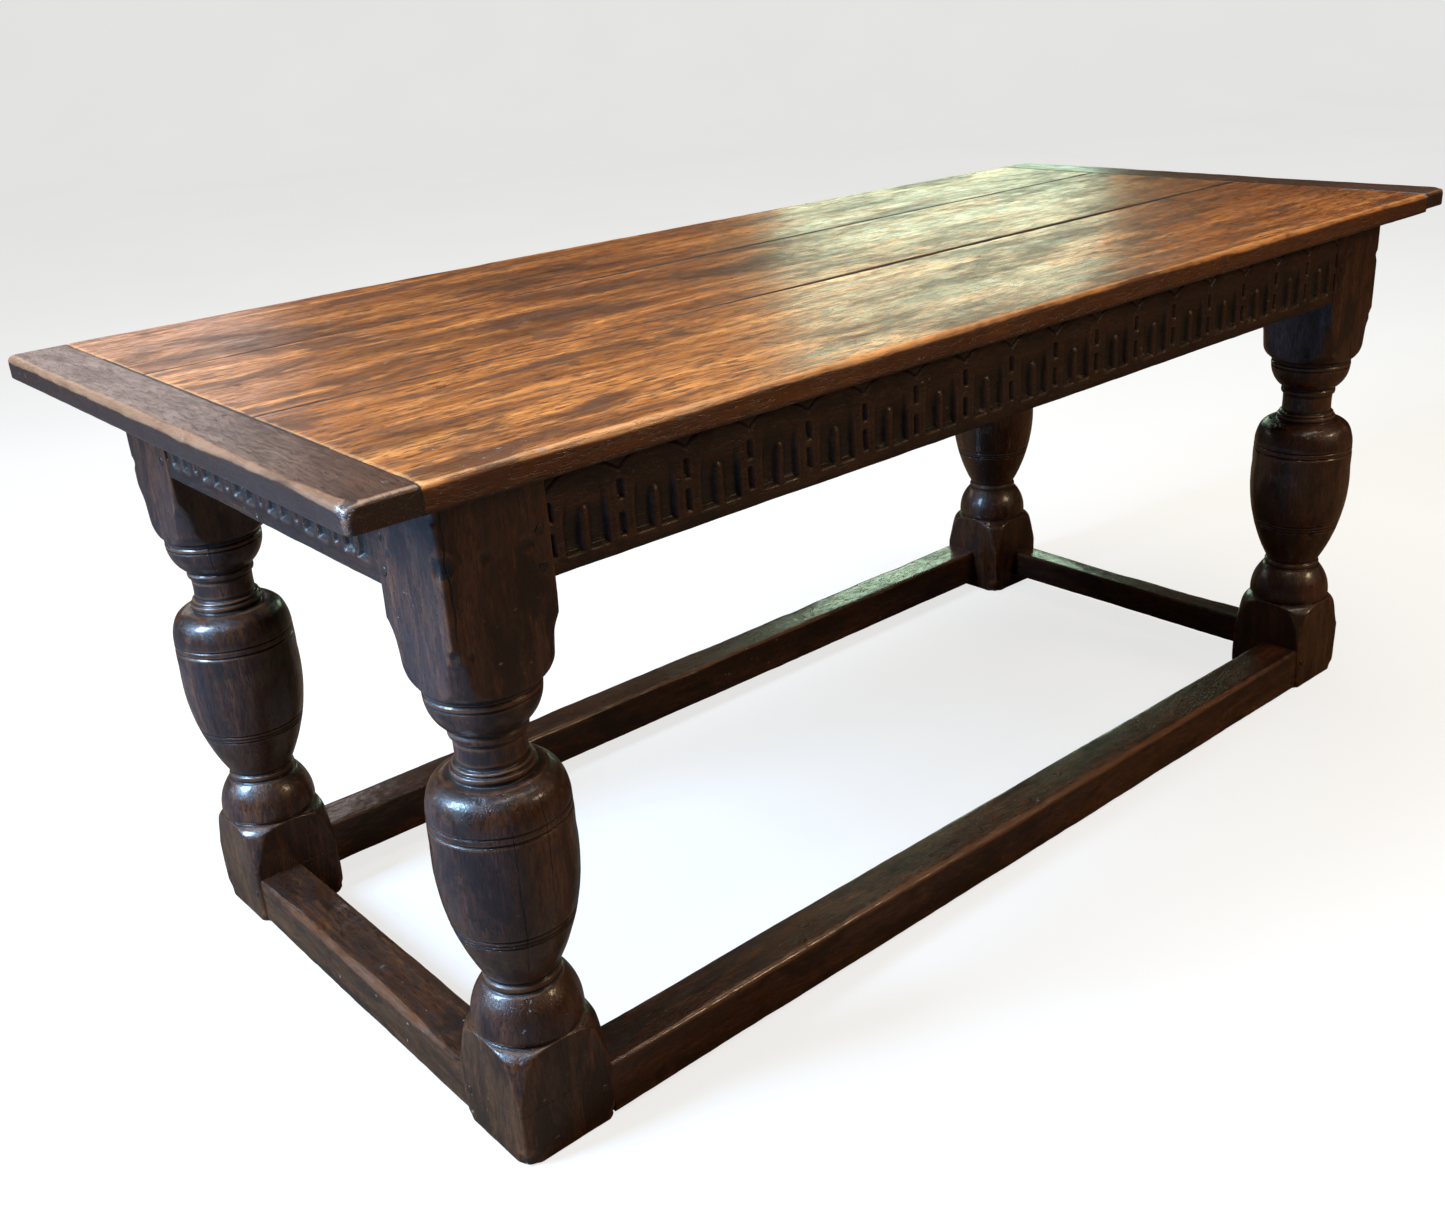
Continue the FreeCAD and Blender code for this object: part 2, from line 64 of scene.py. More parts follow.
def hashed(cell, seed):
    """A steady number from -1 to 1 for each whole-number cell."""
    c = cell.astype(np.int64).astype(np.uint32)
    h = np.uint32((seed * SEED_PRIME) % 2 ** 32)
    for axis, prime in enumerate(CELL_PRIMES):
        h = h + c[..., axis] * np.uint32(prime)
    for shift, prime in MIXERS:
        h = (h ^ (h >> np.uint32(shift))) * np.uint32(prime)
    h = h ^ (h >> np.uint32(LAST_SHIFT))
    return h.astype(np.float64) / 2 ** 31 - 1.0


def bumps(points, seed):
    """Smooth noise from -1 to 1 with bumps one unit long."""
    low = np.floor(points)
    t = points - low
    t = t * t * (3 - 2 * t)
    total = np.zeros(points.shape[:-1])
    for corner in np.ndindex(2, 2, 2):
        share = 1.0
        for axis, far in enumerate(corner):
            share = share * (t[..., axis] if far else 1 - t[..., axis])
        total += hashed(low + np.array(corner), seed) * share
    return total


def noise(points, size, seed, octaves=1):
    """Smooth noise over points in metres; size is the length of a bump, or one length per axis."""
    scaled = points / np.asarray(size, float)
    total = np.zeros(points.shape[:-1])
    weight = 1.0
    for k in range(octaves):
        total += weight * bumps(scaled + SEED_SHIFT * seed, seed + OCTAVE_SEED_STEP * k)
        scaled = scaled * OCTAVE_STEP
        weight *= 0.5
    return total


def line_noise(values, size, seed, octaves=1):
    """Smooth noise along a line of positions in metres."""
    values = np.asarray(values, float)
    points = np.stack([values, np.zeros_like(values), np.zeros_like(values)], -1)
    return noise(points, size, seed, octaves)


def smooth_step(x, low, high):
    t = np.clip((x - low) / (high - low), 0, 1)
    return t * t * (3 - 2 * t)


# ---------------------------------------------------------------- reading the CAD nodes

@functools.cache
class Felt:
    """A CAD node's surface, felt with straight probes."""

    def __init__(self, node):
        self.node = node
        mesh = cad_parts[node].data
        points = [v.co for v in mesh.vertices]
        self.tree = BVHTree.FromPolygons(points, [p.vertices for p in mesh.polygons])
        self.low, self.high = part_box(node)
        self.middle = (self.low + self.high) / 2

    def probe(self, start, direction):
        """Where a probe from start first meets the surface, or None."""
        place, _, _, _ = self.tree.ray_cast(Vector(start), Vector(direction).normalized())
        return place


# ---------------------------------------------------------------- wear

EDGE_REACH = 3  # grid steps over which an arris shows
STEADY_REACH = 8  # grid steps over which a steady curve shows
MOST_PROUD = 1.2 * MM
RUBBED_PATCH = 0.045
LONG_WAVE = 0.16
TOOL_MARK = 0.013


def ring_normals(grid):
    """Unit normals of a lofted grid of closed rings."""
    along = np.gradient(grid, axis=0)
    around = np.roll(grid, -1, axis=1) - np.roll(grid, 1, axis=1)
    normals = np.cross(around, along)
    length = np.linalg.norm(normals, axis=-1, keepdims=True)
    normals = normals / np.maximum(length, 1e-12)
    outward = grid - grid.mean(axis=1, keepdims=True)
    if (normals * outward).sum() < 0:
        normals = -normals
    return normals


def blurred(grid, reach):
    """The grid with each point averaged over its neighbours within reach steps."""
    total = np.zeros_like(grid)
    for k in range(-reach, reach + 1):
        total += np.roll(grid, k, axis=1)
    around = total / (2 * reach + 1)
    padded = np.concatenate([around[:1].repeat(reach, 0), around, around[-1:].repeat(reach, 0)])
    total = np.zeros_like(grid)
    for k in range(2 * reach + 1):
        total += padded[k:k + len(grid)]
    return total / (2 * reach + 1)


def sharpness(grid, normals, reach):
    """How far each point stands proud of its surroundings, in metres; negative in a hollow."""
    return ((grid - blurred(grid, reach)) * normals).sum(-1)


def age(grid, seed, wave, fine, edge):
    """Wear a grid: long waves and small tool marks in millimetres, and a share of each arris rubbed off."""
    normals = ring_normals(grid)
    proud = np.clip(sharpness(grid, normals, EDGE_REACH), 0, MOST_PROUD)
    patchy = 0.55 + 0.75 * noise(grid, RUBBED_PATCH, seed + 3, 2)
    loss = edge * proud * np.clip(patchy, 0.1, 1.6)
    loss = loss + MM * wave * (0.5 + 0.5 * noise(grid, LONG_WAVE, seed, 2))
    loss = loss + MM * fine * noise(grid, TOOL_MARK, seed + 7, 2)
    return grid - normals * loss[..., None]


def chipped(grid, chips):
    """Knock small hollows into the grid; each chip is a place, a radius and a depth."""
    normals = ring_normals(grid)
    loss = np.zeros(grid.shape[:-1])
    for place, radius, depth in chips:
        gap = ((grid - np.asarray(place, float)) ** 2).sum(-1) / radius ** 2
        loss = np.maximum(loss, depth * np.clip(1 - gap, 0, 1) ** 1.5)
    return grid - normals * loss[..., None]


# ---------------------------------------------------------------- lofted pieces

CAP_SHARES = (0.985, 0.93, 0.8, 0.55, 0.2)
CAP_FADES = np.array([0.8, 0.35, 0.0, 0.0, 0.0])[:, None]  # how far an end ring's fields carry over its cap
FAR_OFF = 60.0  # the value of a line's field at points well away from the line
CAP_LEVELS = {"upright": 1.0, "crack_1": FAR_OFF, "crack_2": FAR_OFF, "crack_3": FAR_OFF, "scribe": FAR_OFF}
FULL_ARRIS = 0.55 * MM


def cap_rings(ring):
    """Smaller copies of an end ring that close the end, from the largest inwards."""
    centre = ring.mean(axis=0)
    return np.array([centre + (ring - centre) * share for share in CAP_SHARES])


def linked(name, data):
    piece = bpy.data.objects.new(name, data)
    bpy.context.scene.collection.objects.link(piece)
    return piece


def stand_for(piece, node):
    """Let a piece replace a CAD node: hide the node and hang the piece under the root body."""
    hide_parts(node)
    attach(piece, "root")
    return piece


def smooth_mesh(name, points, faces):
    mesh = bpy.data.meshes.new(name)
    mesh.from_pydata(points, [], faces)
    mesh.shade_smooth()
    return mesh


def ring_mesh(name, full):
    """A closed mesh through a grid of rings, with a flat face over each end."""
    rows, count, _ = full.shape
    index = np.arange(rows * count).reshape(rows, count)
    near, far = index[:-1], index[1:]
    quads = np.stack([near, np.roll(near, -1, axis=1), np.roll(far, -1, axis=1), far], -1)
    faces = quads.reshape(-1, 4).tolist() + [index[0][::-1].tolist(), index[-1].tolist()]
    mesh = smooth_mesh(name, full.reshape(-1, 3), faces)
    face_outward(mesh)
    return mesh


def loft(node, grid, fields=None):
    """Make a piece from a grid of closed rings, with its ends closed, and let it stand for a CAD node."""
    full = np.concatenate([cap_rings(grid[0])[::-1], grid, cap_rings(grid[-1])])
    mesh = ring_mesh(node + "_oak", full)
    add_fields(mesh, grid, fields or {})
    return stand_for(linked(node + "_oak", mesh), node)


def mesh_points(mesh):
    points = np.zeros(len(mesh.vertices) * 3)
    mesh.vertices.foreach_get("co", points)
    return points.reshape(-1, 3)


def face_outward(mesh):
    """Turn every face over if the mesh came out inside out."""
    points = mesh_points(mesh)
    mesh.calc_loop_triangles()
    corners = np.zeros(len(mesh.loop_triangles) * 3, int)
    mesh.loop_triangles.foreach_get("vertices", corners)
    tri = points[corners.reshape(-1, 3)] - points.mean(axis=0)
    volume = (np.cross(tri[:, 0], tri[:, 1]) * tri[:, 2]).sum()
    if volume < 0:
        mesh.flip_normals()


def add_fields(mesh, grid, fields):
    """Store the worn and grimy places, how upright each face stands (for the painted shade on upright
    faces), and any other field, for the materials to read.
    """
    normals = ring_normals(grid)
    steady = sharpness(grid, normals, STEADY_REACH) * (EDGE_REACH / STEADY_REACH) ** 2
    local = sharpness(grid, normals, EDGE_REACH) - steady
    everything = {
        "edge": np.clip(local / FULL_ARRIS, -1.5, 1.5),
        "upright": 1 - np.abs(normals[..., 2]),
    }
    everything.update(fields)
    for name, field in everything.items():
        field = np.asarray(field, float)
        level = CAP_LEVELS.get(name, 0.0)
        before = level + (field[:1] - level) * CAP_FADES[::-1]
        after = level + (field[-1:] - level) * CAP_FADES
        full = np.concatenate([before, field, after])
        attribute = mesh.attributes.new(name, "FLOAT", "POINT")
        attribute.data.foreach_set("value", full.ravel().astype(np.float32))


# ---------------------------------------------------------------- outlines

CORNER_SHARES = (0.12, 0.3, 0.5, 0.7, 0.88)


def section_plan(width, height, steps):
    """Which side or corner each point of a rounded section lies on, as (part, share) pairs."""
    plan = []
    for side, length in enumerate((width, height, width, height)):
        count = max(2, int(round(length / (steps[side]))))
        edge = 1 * MM / length
        plan += [(side, float(s)) for s in np.linspace(edge, 1 - edge, count)]
        plan += [(side + 4, share) for share in CORNER_SHARES]
    return plan


def rounded_sections(plan, u0, u1, v0, v1, radii):
    """Rounded rectangles (u across, v up), one per row of the limits.
    The corner radii are right-low, right-top, left-top and left-low."""
    u0, u1, v0, v1, *radii = np.broadcast_arrays(u0, u1, v0, v1, *radii)
    middles = (
        (u1 - radii[0], v0 + radii[0]), (u1 - radii[1], v1 - radii[1]),
        (u0 + radii[2], v1 - radii[2]), (u0 + radii[3], v0 + radii[3]),
    )
    flats = (
        (u0 + radii[3], u1 - radii[0], v0, v0), (u1, u1, v0 + radii[0], v1 - radii[1]),
        (u1 - radii[1], u0 + radii[2], v1, v1), (u0, u0, v1 - radii[2], v0 + radii[3]),
    )
    points = []
    for part, share in plan:
        if part < 4:
            ua, ub, va, vb = flats[part]
            points.append(np.stack([ua + (ub - ua) * share, va + (vb - va) * share], -1))
        else:
            corner = part - 4
            angle = math.radians(90 * (corner - 1) + 90 * share)
            u, v = middles[corner]
            reach = radii[corner]
            points.append(np.stack([u + reach * math.cos(angle), v + reach * math.sin(angle)], -1))
    return np.stack(points, 1)


def along_x(along, flat):
    """Sections drawn across and up, placed one at each position along X."""
    return np.concatenate([np.broadcast_to(along[:, None, None], flat.shape[:2] + (1,)), flat], -1)


# ---------------------------------------------------------------- legs

LEG_NAMES = ("leg_front_left", "leg_front_right", "leg_back_left", "leg_back_right")
RING_POINTS = 224
RING_LEVELS = 400
CORNER_GATHERING = 0.095  # how strongly a ring's points gather towards the corners of the square parts
BALUSTER = (0.142, 0.546)  # the turned length between a leg's square foot and its square head
PROFILE_STEP = 0.5 * MM
PROFILE_REACH = 6  # profile steps over which a quirk shows
GROOVE_REACH = 9
GROOVE_DEEPENING = 1.0 * MM  # how far dirt and wear have sharpened each groove
SOLE_FEEL = 2.5 * MM  # the sole's outline is felt just above its worn edge
LEG_ARRIS = 3 * MM
BLOCK_BLEND = 1.1 * MM  # how softly the turned and square shapes meet
BEYOND = 0.2  # a radius outside the leg, where a shape plays no part
FOOT_SCRIBE = 0.0712
SCRIBE_HALF = 0.55 * MM


def turning_profile(felt, heights):
    """Radius of a leg at each height, felt along its diagonals where no joint is cut."""
    found = []
    for z in heights:
        reach = []
        for sx, sy in ((1, 1), (1, -1), (-1, 1), (-1, -1)):
            start = felt.middle + Vector((sx * BEYOND, sy * BEYOND, 0))
            place = felt.probe((start.x, start.y, z), (-sx, -sy, 0))
            if place is not None:
                reach.append(math.hypot(place.x - felt.middle.x, place.y - felt.middle.y))
        found.append(np.median(reach))
    return np.array(found)


def block_half(felt):
    """Half the width of a leg's square head."""
    outward = math.copysign(1, felt.middle.x)
    start = (felt.middle.x + outward * 0.3, felt.middle.y, felt.high.z - 25 * MM)
    return abs(felt.probe(start, (-outward, 0, 0)).x - felt.middle.x)


def averaged(values, reach):
    """A running mean over reach steps either way."""
    kernel = np.ones(2 * reach + 1) / (2 * reach + 1)
    return np.convolve(np.pad(values, reach, mode="edge"), kernel, mode="valid")


def level_heights(heights, radii):
    """Heights for the rings of a leg, closer together where the outline turns sharply."""
    slope = np.gradient(radii, heights)
    length = np.hypot(1, np.clip(slope, -3, 3)) * np.gradient(heights)
    wander = np.abs(radii - averaged(radii, PROFILE_REACH))
    busy = averaged(wander > 0.12 * MM, PROFILE_REACH)
    weight = length * (1 + 1.9 * np.clip(busy * 2, 0, 1))
    travelled = np.concatenate([[0], np.cumsum(weight)[:-1]])
    z = np.interp(np.linspace(0, travelled[-1], RING_LEVELS), travelled, heights)
    sole = np.array([0, 0.6, 1.6, 3.0]) * MM
    return np.unique(np.concatenate([sole, z[z > 4.5 * MM]]))


def square_radius(angle, half, corner):
    """Distance to the edge of a square with rounded corners, in each direction."""
    c = np.abs(np.cos(angle))
    s = np.abs(np.sin(angle))
    flat = half / np.maximum(c, s)
    inner = half - corner
    under = np.maximum(inner ** 2 * (c + s) ** 2 - 2 * inner ** 2 + corner ** 2, 0)
    curved = inner * (c + s) + np.sqrt(under)
    on_flat = half * np.minimum(c, s) / np.maximum(c, s) <= inner
    return np.where(on_flat, flat, curved)


def groove_share(radii):
    """How deep in a turned groove or quirk each step of an outline lies, from 0 to 1."""
    hollow = averaged(radii, GROOVE_REACH) - radii
    return np.clip((hollow - 0.04 * MM) / (0.35 * MM), 0, 1)


def worn_corners(angle, z, seed):
    """Corner radius of a leg's square parts, varying from place to place and larger at the sole."""
    spot = np.stack([np.cos(angle) * 0.085, np.sin(angle) * 0.085, z], -1)
    corner = MM * (4.2 + 2.6 * noise(spot, (0.05, 0.05, 0.07), seed, 2))
    return np.clip(corner + 3.5 * MM * smooth_step(-z, -0.03, 0.0), 2 * MM, 12 * MM)


def leg_grid(felt, seed):
    """The rings of one leg, from the sole up, the angle and height of each point, and its grooves."""
    base = np.arange(0, felt.high.z + 1e-9, PROFILE_STEP)
    radii = turning_profile(felt, np.maximum(base, SOLE_FEEL * (base == 0)))
    half = block_half(felt)
    corner_reach = (half - LEG_ARRIS) * math.sqrt(2) + LEG_ARRIS
    z = level_heights(base, radii)
    turned = np.interp(z, base, radii)
    turned = np.where(turned > corner_reach - 0.4 * MM, BEYOND, turned)
    sweep = np.linspace(0, 2 * math.pi, RING_POINTS, endpoint=False)
    zz, aa = np.meshgrid(z, sweep + CORNER_GATHERING * np.sin(4 * sweep), indexing="ij")
    round_part = (zz > BALUSTER[0]) & (zz < BALUSTER[1])
    grooves = np.interp(z, base, groove_share(radii))[:, None] * round_part
    out_of_true = MM * 0.5 * np.cos(2 * aa + seed) * (turned[:, None] < 0.1)
    lathe = turned[:, None] + out_of_true - GROOVE_DEEPENING * grooves
    square = np.where(round_part, BEYOND, square_radius(aa, half, worn_corners(aa, zz, seed)))
    nearest = np.exp(-(lathe - half) / BLOCK_BLEND) + np.exp(-(square - half) / BLOCK_BLEND)
    radius = -BLOCK_BLEND * np.log(nearest) + half
    radius = radius - MM * np.clip(2.4 - 1.7 * zz / MM, 0, 2.4)
    x = felt.middle.x + radius * np.cos(aa)
    y = felt.middle.y + radius * np.sin(aa)
    return np.stack([x, y, zz], -1), aa, zz, grooves


def crack_field(grid, angle, z, crack, seed):
    """Signed distance from a drying crack, over its half width, so that a material can draw it sharply."""
    way, low, high, wobble, width = crack
    middle = (low + high) / 2
    reach = (high - low) / 2
    wander = wobble * MM * line_noise(z, 0.05, seed, 3)
    turn = angle - math.radians(way)
    turn = (turn + math.pi) % (2 * math.pi) - math.pi
    centre = grid.mean(axis=1, keepdims=True)
    radius = np.linalg.norm((grid - centre)[..., :2], axis=-1)
    offset = turn * radius - wander
    taper = np.clip(1 - np.abs((z - middle) / reach) ** 2.5, 0, 1)
    least = 0.02 * MM
    half_width = width * MM * taper * (0.75 + 0.5 * line_noise(z, 0.012, seed + 5, 2)) + least
    return np.clip(offset / np.maximum(half_width, least), -FAR_OFF, FAR_OFF)


# Cracks per leg: direction in degrees (-90 faces the front, 180 the left end), heights from and to in
# metres, then wobble and half width in millimetres
CRACKS = {
    "leg_front_left": (
        (-112, 0.205, 0.452, 2.2, 1.0), (-84, 0.30, 0.47, 1.8, 0.8), (-131, 0.60, 0.75, 2.0, 1.2),
    ),
    "leg_back_left": (
        (-150, 0.25, 0.42, 2.5, 0.8), (-118, 0.50, 0.56, 1.0, 0.9), (-75, 0.02, 0.10, 2.0, 0.8),
    ),
    "leg_front_right": (
        (-92, 0.23, 0.40, 2.0, 0.7), (-120, 0.56, 0.70, 2.0, 0.8), (-60, 0.01, 0.09, 2.0, 0.8),
    ),
    "leg_back_right": (
        (-100, 0.24, 0.44, 2.0, 0.8), (100, 0.22, 0.41, 2.5, 0.9), (20, 0.56, 0.71, 2.0, 0.8),
    ),
}
CRACK_NAMES = ("crack_1", "crack_2", "crack_3")

# Bruises on the outer upright corner of a leg's head: height in metres, reach and depth in millimetres
BRUISES = {
    "leg_front_left": ((0.690, 15, 3.4), (0.604, 7, 1.6)),
    "leg_back_left": ((0.64, 9, 2.4), (0.58, 8, 2.0)),
    "leg_front_right": ((0.70, 9, 2.2), (0.61, 10, 2.6)),
    "leg_back_right": ((0.66, 10, 2.4),),
}
DENTS_PER_LEG = 34


def leg_chips(felt, grid, seed):
    """Dents anywhere on a leg, and bigger chips off the four corners of its sole and its head."""
    generator = np.random.default_rng(seed)
    chips = []
    for _ in range(DENTS_PER_LEG):
        row = generator.integers(4, len(grid))
        column = generator.integers(0, grid.shape[1])
        chips.append((grid[row, column], generator.uniform(4, 11) * MM, generator.uniform(0.3, 1.4) * MM))
    reach = block_half(felt) - 2 * MM
    for sx, sy in ((-1, -1), (-1, 1), (1, -1), (1, 1)):
        place = (felt.middle.x + sx * reach, felt.middle.y + sy * reach, generator.uniform(0, 6) * MM)
        chips.append((place, generator.uniform(9, 20) * MM, generator.uniform(2, 5) * MM))
    corner_x = felt.middle.x + math.copysign(reach, felt.middle.x)
    corner_y = felt.middle.y + math.copysign(reach, felt.middle.y)
    for height, size, depth in BRUISES[felt.node]:
        chips.append(((corner_x, corner_y, height), size * MM, depth * MM))
    return chips


def make_leg(node, seed):
    felt = Felt(node)
    grid, angle, z, grooves = leg_grid(felt, seed)
    grid = age(grid, seed, wave=0.7, fine=0.16, edge=0.55)
    grid = chipped(grid, leg_chips(felt, grid, seed))
    grid[0, :, 2] += MM * np.clip(1.2 * noise(grid[0], 0.012, seed + 21, 2), 0, 2)
    fields = {"sunk": grooves}
    for k, crack in enumerate(CRACKS[node]):
        fields[CRACK_NAMES[k]] = crack_field(grid, angle, z, crack, seed + 31 + k)
    fields["scribe"] = np.clip((z - FOOT_SCRIBE) / SCRIBE_HALF, -FAR_OFF, FAR_OFF)
    return loft(node, grid, fields)


# ---------------------------------------------------------------- friezes

BAY_PITCH = 83.5 * MM
CARVING_BASE = 665 * MM
ARCH_HALF = 25.75 * MM
ARCH_SPRING = 713.25 * MM
GROUND = 6.0 * MM
GROUND_FADE = 0.80  # share of the ground's depth lost by the crown of the arch
FADE_START = 20 * MM  # above the carving's base
FADE_END = 0.3  # above the springing, as a share of the arch's half width
LOW_WALL = 1.8 * MM  # how wide the hollow's sloping edge is at its foot
HIGH_WALL = 5.0 * MM  # and how much wider at its crown
SILL_DROP = 4.5 * MM
STOP_HALF = 7.2 * MM
STOP_TOP = 706 * MM
STOP_ROUNDING = 0.92
SLOT_HALF = 4.0 * MM
SLOT_DEPTH = 5.0 * MM
SLOT_WALL = 1.7 * MM
SLOTS = ((665 * MM, 689 * MM), (700 * MM, 720 * MM))
SCALLOP_CREST = 748 * MM
SCALLOP_RISE = 17 * MM
SCALLOP_HALF = 2.2 * MM
SCALLOP_DEPTH = 2.6 * MM
RAIL_BURIED = 1.5 * MM  # how far a rail's ends run into the legs
DEEPEST_SUNK = 1.3


def jitter(index, seed, amount):
    """A steady hand-made error for each whole-number index, in millimetres times amount."""
    cell = np.stack([index, index * 0, index * 0], -1)
    return MM * amount * hashed(cell, seed)


def hollow_depth(lean, z, half, spring):
    """Depth of an arched hollow: full at its foot, fading towards its crown, with a sloping sill."""
    inside_low = np.minimum(half - np.abs(lean), z - CARVING_BASE)
    inside_high = half - np.hypot(lean, z - spring)
    inside = np.where(z < spring, inside_low, inside_high)
    rise = smooth_step(z, CARVING_BASE + FADE_START, spring + FADE_END * half)
    floor = GROUND * (1.0 - GROUND_FADE * rise)
    depth = floor * smooth_step(inside / (LOW_WALL + HIGH_WALL * rise), 0, 1)
    sill = GROUND * np.clip((z - CARVING_BASE + SILL_DROP) / SILL_DROP, 0, 1)
    on_sill = (z < CARVING_BASE) & (np.abs(lean) < half)
    return np.where(on_sill, sill * smooth_step(half - np.abs(lean), 0, 1.2 * MM), depth)


def with_stop(depth, across, z, top, half):
    """The same hollow with a round-topped stop left standing in it."""
    crown = np.clip(z - (top - half), 0, None)
    gap = np.clip(1 - (across / half) ** 2 - (crown / half) ** 2, 0, 1)
    stop = half * STOP_ROUNDING * (1 - np.sqrt(gap))
    in_stop = (gap > 0) & (z > CARVING_BASE - SILL_DROP)
    return np.where(in_stop, np.minimum(depth, stop), depth)


def slot_depth(across, z, post, seed):
    """Depth of the two sunk slots in the pillar between two bays."""
    depth = 0.0
    half = SLOT_HALF + jitter(post, seed + 12, 0.4)
    for k, (low, high) in enumerate(SLOTS):
        shift = jitter(post, seed + 9 + k, 1.2)
        inside = np.minimum(z - low - shift, high + shift - z)
        inside = np.minimum(half - np.abs(across), inside)
        depth = np.maximum(depth, SLOT_DEPTH * smooth_step(inside, 0, SLOT_WALL))
    return depth


def scallop_depth(across, z, bay, shift):
    """Depth of the scratched line that arches over a bay."""
    chord = bay / 2
    radius = (chord ** 2 + SCALLOP_RISE ** 2) / (2 * SCALLOP_RISE)
    hub = SCALLOP_CREST - radius + shift
    off = np.abs(np.hypot(across, z - hub) - radius)
    return SCALLOP_DEPTH * np.clip(1 - off / SCALLOP_HALF, 0, 1)


def carved_depth(u, z, span, bays, seed):
    """Depth of the hand-cut arcade below a frieze's face, at distance u along it and height z,
    and how much of the scratched line is there."""
    bay = span / bays
    number = np.clip(np.floor((u + span / 2) / bay), 0, bays - 1)
    middle = (number + 0.5) * bay - span / 2
    across = u - middle - jitter(number, seed, 0.9)
    half = ARCH_HALF + jitter(number, seed + 1, 0.8)
    spring = ARCH_SPRING + jitter(number, seed + 2, 1.2)
    lean = across + (z - 0.69) * 12 * jitter(number, seed + 3, 1.0)
    depth = hollow_depth(lean, z, half, spring)
    tilt = across - jitter(number, seed + 4, 1.4) - (z - 0.68) * 30 * jitter(number, seed + 5, 1.0)
    top = STOP_TOP + jitter(number, seed + 6, 1.8)
    depth = with_stop(depth, tilt, z, top, STOP_HALF + jitter(number, seed + 7, 0.5))
    post = np.round((u + span / 2) / bay)
    beside = u - (post * bay - span / 2) - jitter(post, seed + 8, 0.8)
    depth = np.maximum(depth, slot_depth(beside, z, post, seed))
    scratch = scallop_depth(u - middle, z, bay, jitter(number, seed + 14, 0.8))
    return np.maximum(depth, scratch), scratch / SCALLOP_DEPTH


TURNS = {"front": 0, "right": 90, "back": 180, "left": 270}  # degrees from the front to each side


def side_span(side):
    """How far a side's rails run between the legs."""
    felt = Felt("leg_front_left")
    middle = felt.middle.x if side in ("front", "back") else felt.middle.y
    return 2 * (abs(middle) - block_half(felt))


def onto_side(points, side):
    """Turn points drawn for a front rail round to another side."""
    angle = math.radians(TURNS[side])
    c, s = math.cos(angle), math.sin(angle)
    x = points[..., 0] * c - points[..., 1] * s
    y = points[..., 0] * s + points[..., 1] * c
    return np.stack([x, y, points[..., 2]], -1)


def off_side(point, side):
    """Turn a real place back to where it would be on a front rail."""
    angle = math.radians(-TURNS[side])
    c, s = math.cos(angle), math.sin(angle)
    return Vector((point.x * c - point.y * s, point.x * s + point.y * c, point.z))


def front_box(node, side):
    """A rail's lowest and highest corners once turned to the front."""
    low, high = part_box(node)
    a, b = off_side(low, side), off_side(high, side)
    return [min(p, q) for p, q in zip(a, b)], [max(p, q) for p, q in zip(a, b)]


def frieze_outline(low, high):
    """Depth and height of each point round a frieze's section, and how many lie on its carved face."""
    face = np.arange(high[2] - 9 * MM, low[2] + 2.2 * MM, -1.5 * MM)
    face = np.concatenate([[high[2], high[2] - 6 * MM], face])
    thickness = high[1] - low[1]
    rows = [(0.0, z) for z in face]
    rows += [(a * MM, low[2] + b * MM) for a, b in ((0.0, 1.6), (0.45, 0.55), (1.6, 0.0))]
    rows += [(y, low[2]) for y in np.linspace(4 * MM, thickness - 3 * MM, 6)]
    rows += [(thickness, z) for z in np.linspace(low[2] + 3 * MM, high[2], 9)]
    return np.array(rows), len(face)


def sill_dust(grid, z, cut, seed):
    """Dust lying on the sills of the hollows, in crumbs."""
    low_in_bay = np.clip(1 - np.abs(z - CARVING_BASE + 1 * MM) / (4 * MM), 0, 1)
    crumbs = smooth_step(noise(grid, 0.007, seed + 50, 3), 0.15, 0.6)
    somewhere = smooth_step(noise(grid, 0.05, seed + 51), -0.3, 0.4)
    return low_in_bay * (cut > 2 * MM) * (crumbs * somewhere)


def make_frieze(side, seed):
    node = "frieze_" + side
    low, high = front_box(node, side)
    span = side_span(side)
    bays = int(round(span / BAY_PITCH))
    u = np.linspace(-span / 2 - RAIL_BURIED, span / 2 + RAIL_BURIED, int(round(span / (1.6 * MM))))
    outline, face_points = frieze_outline(low, high)
    uu, depth = np.meshgrid(u, outline[:, 0], indexing="ij")
    _, zz = np.meshgrid(u, outline[:, 1], indexing="ij")
    on_face = (np.arange(len(outline)) < face_points)[None, :]
    cut, scratched = carved_depth(uu, zz, span, bays, seed)
    cut = cut * on_face
    grid = np.stack([uu, low[1] + depth + cut, zz], -1)
    scoop = noise(np.stack([uu, zz, zz * 0], -1), (0.006, 0.012, 1), seed + 40, 2)
    grid[..., 1] += MM * 0.35 * scoop * (cut > 2.5 * MM)
    sunk = np.maximum(cut / GROUND, DEEPEST_SUNK * scratched * on_face)
    dust = sill_dust(grid, zz, cut, seed)
    grid = age(grid, seed, wave=0.5, fine=0.14, edge=0.45)
    fields = {"sunk": np.clip(sunk, 0, DEEPEST_SUNK), "dust": dust}
    return loft(node, onto_side(grid, side), fields)


# ---------------------------------------------------------------- stretchers

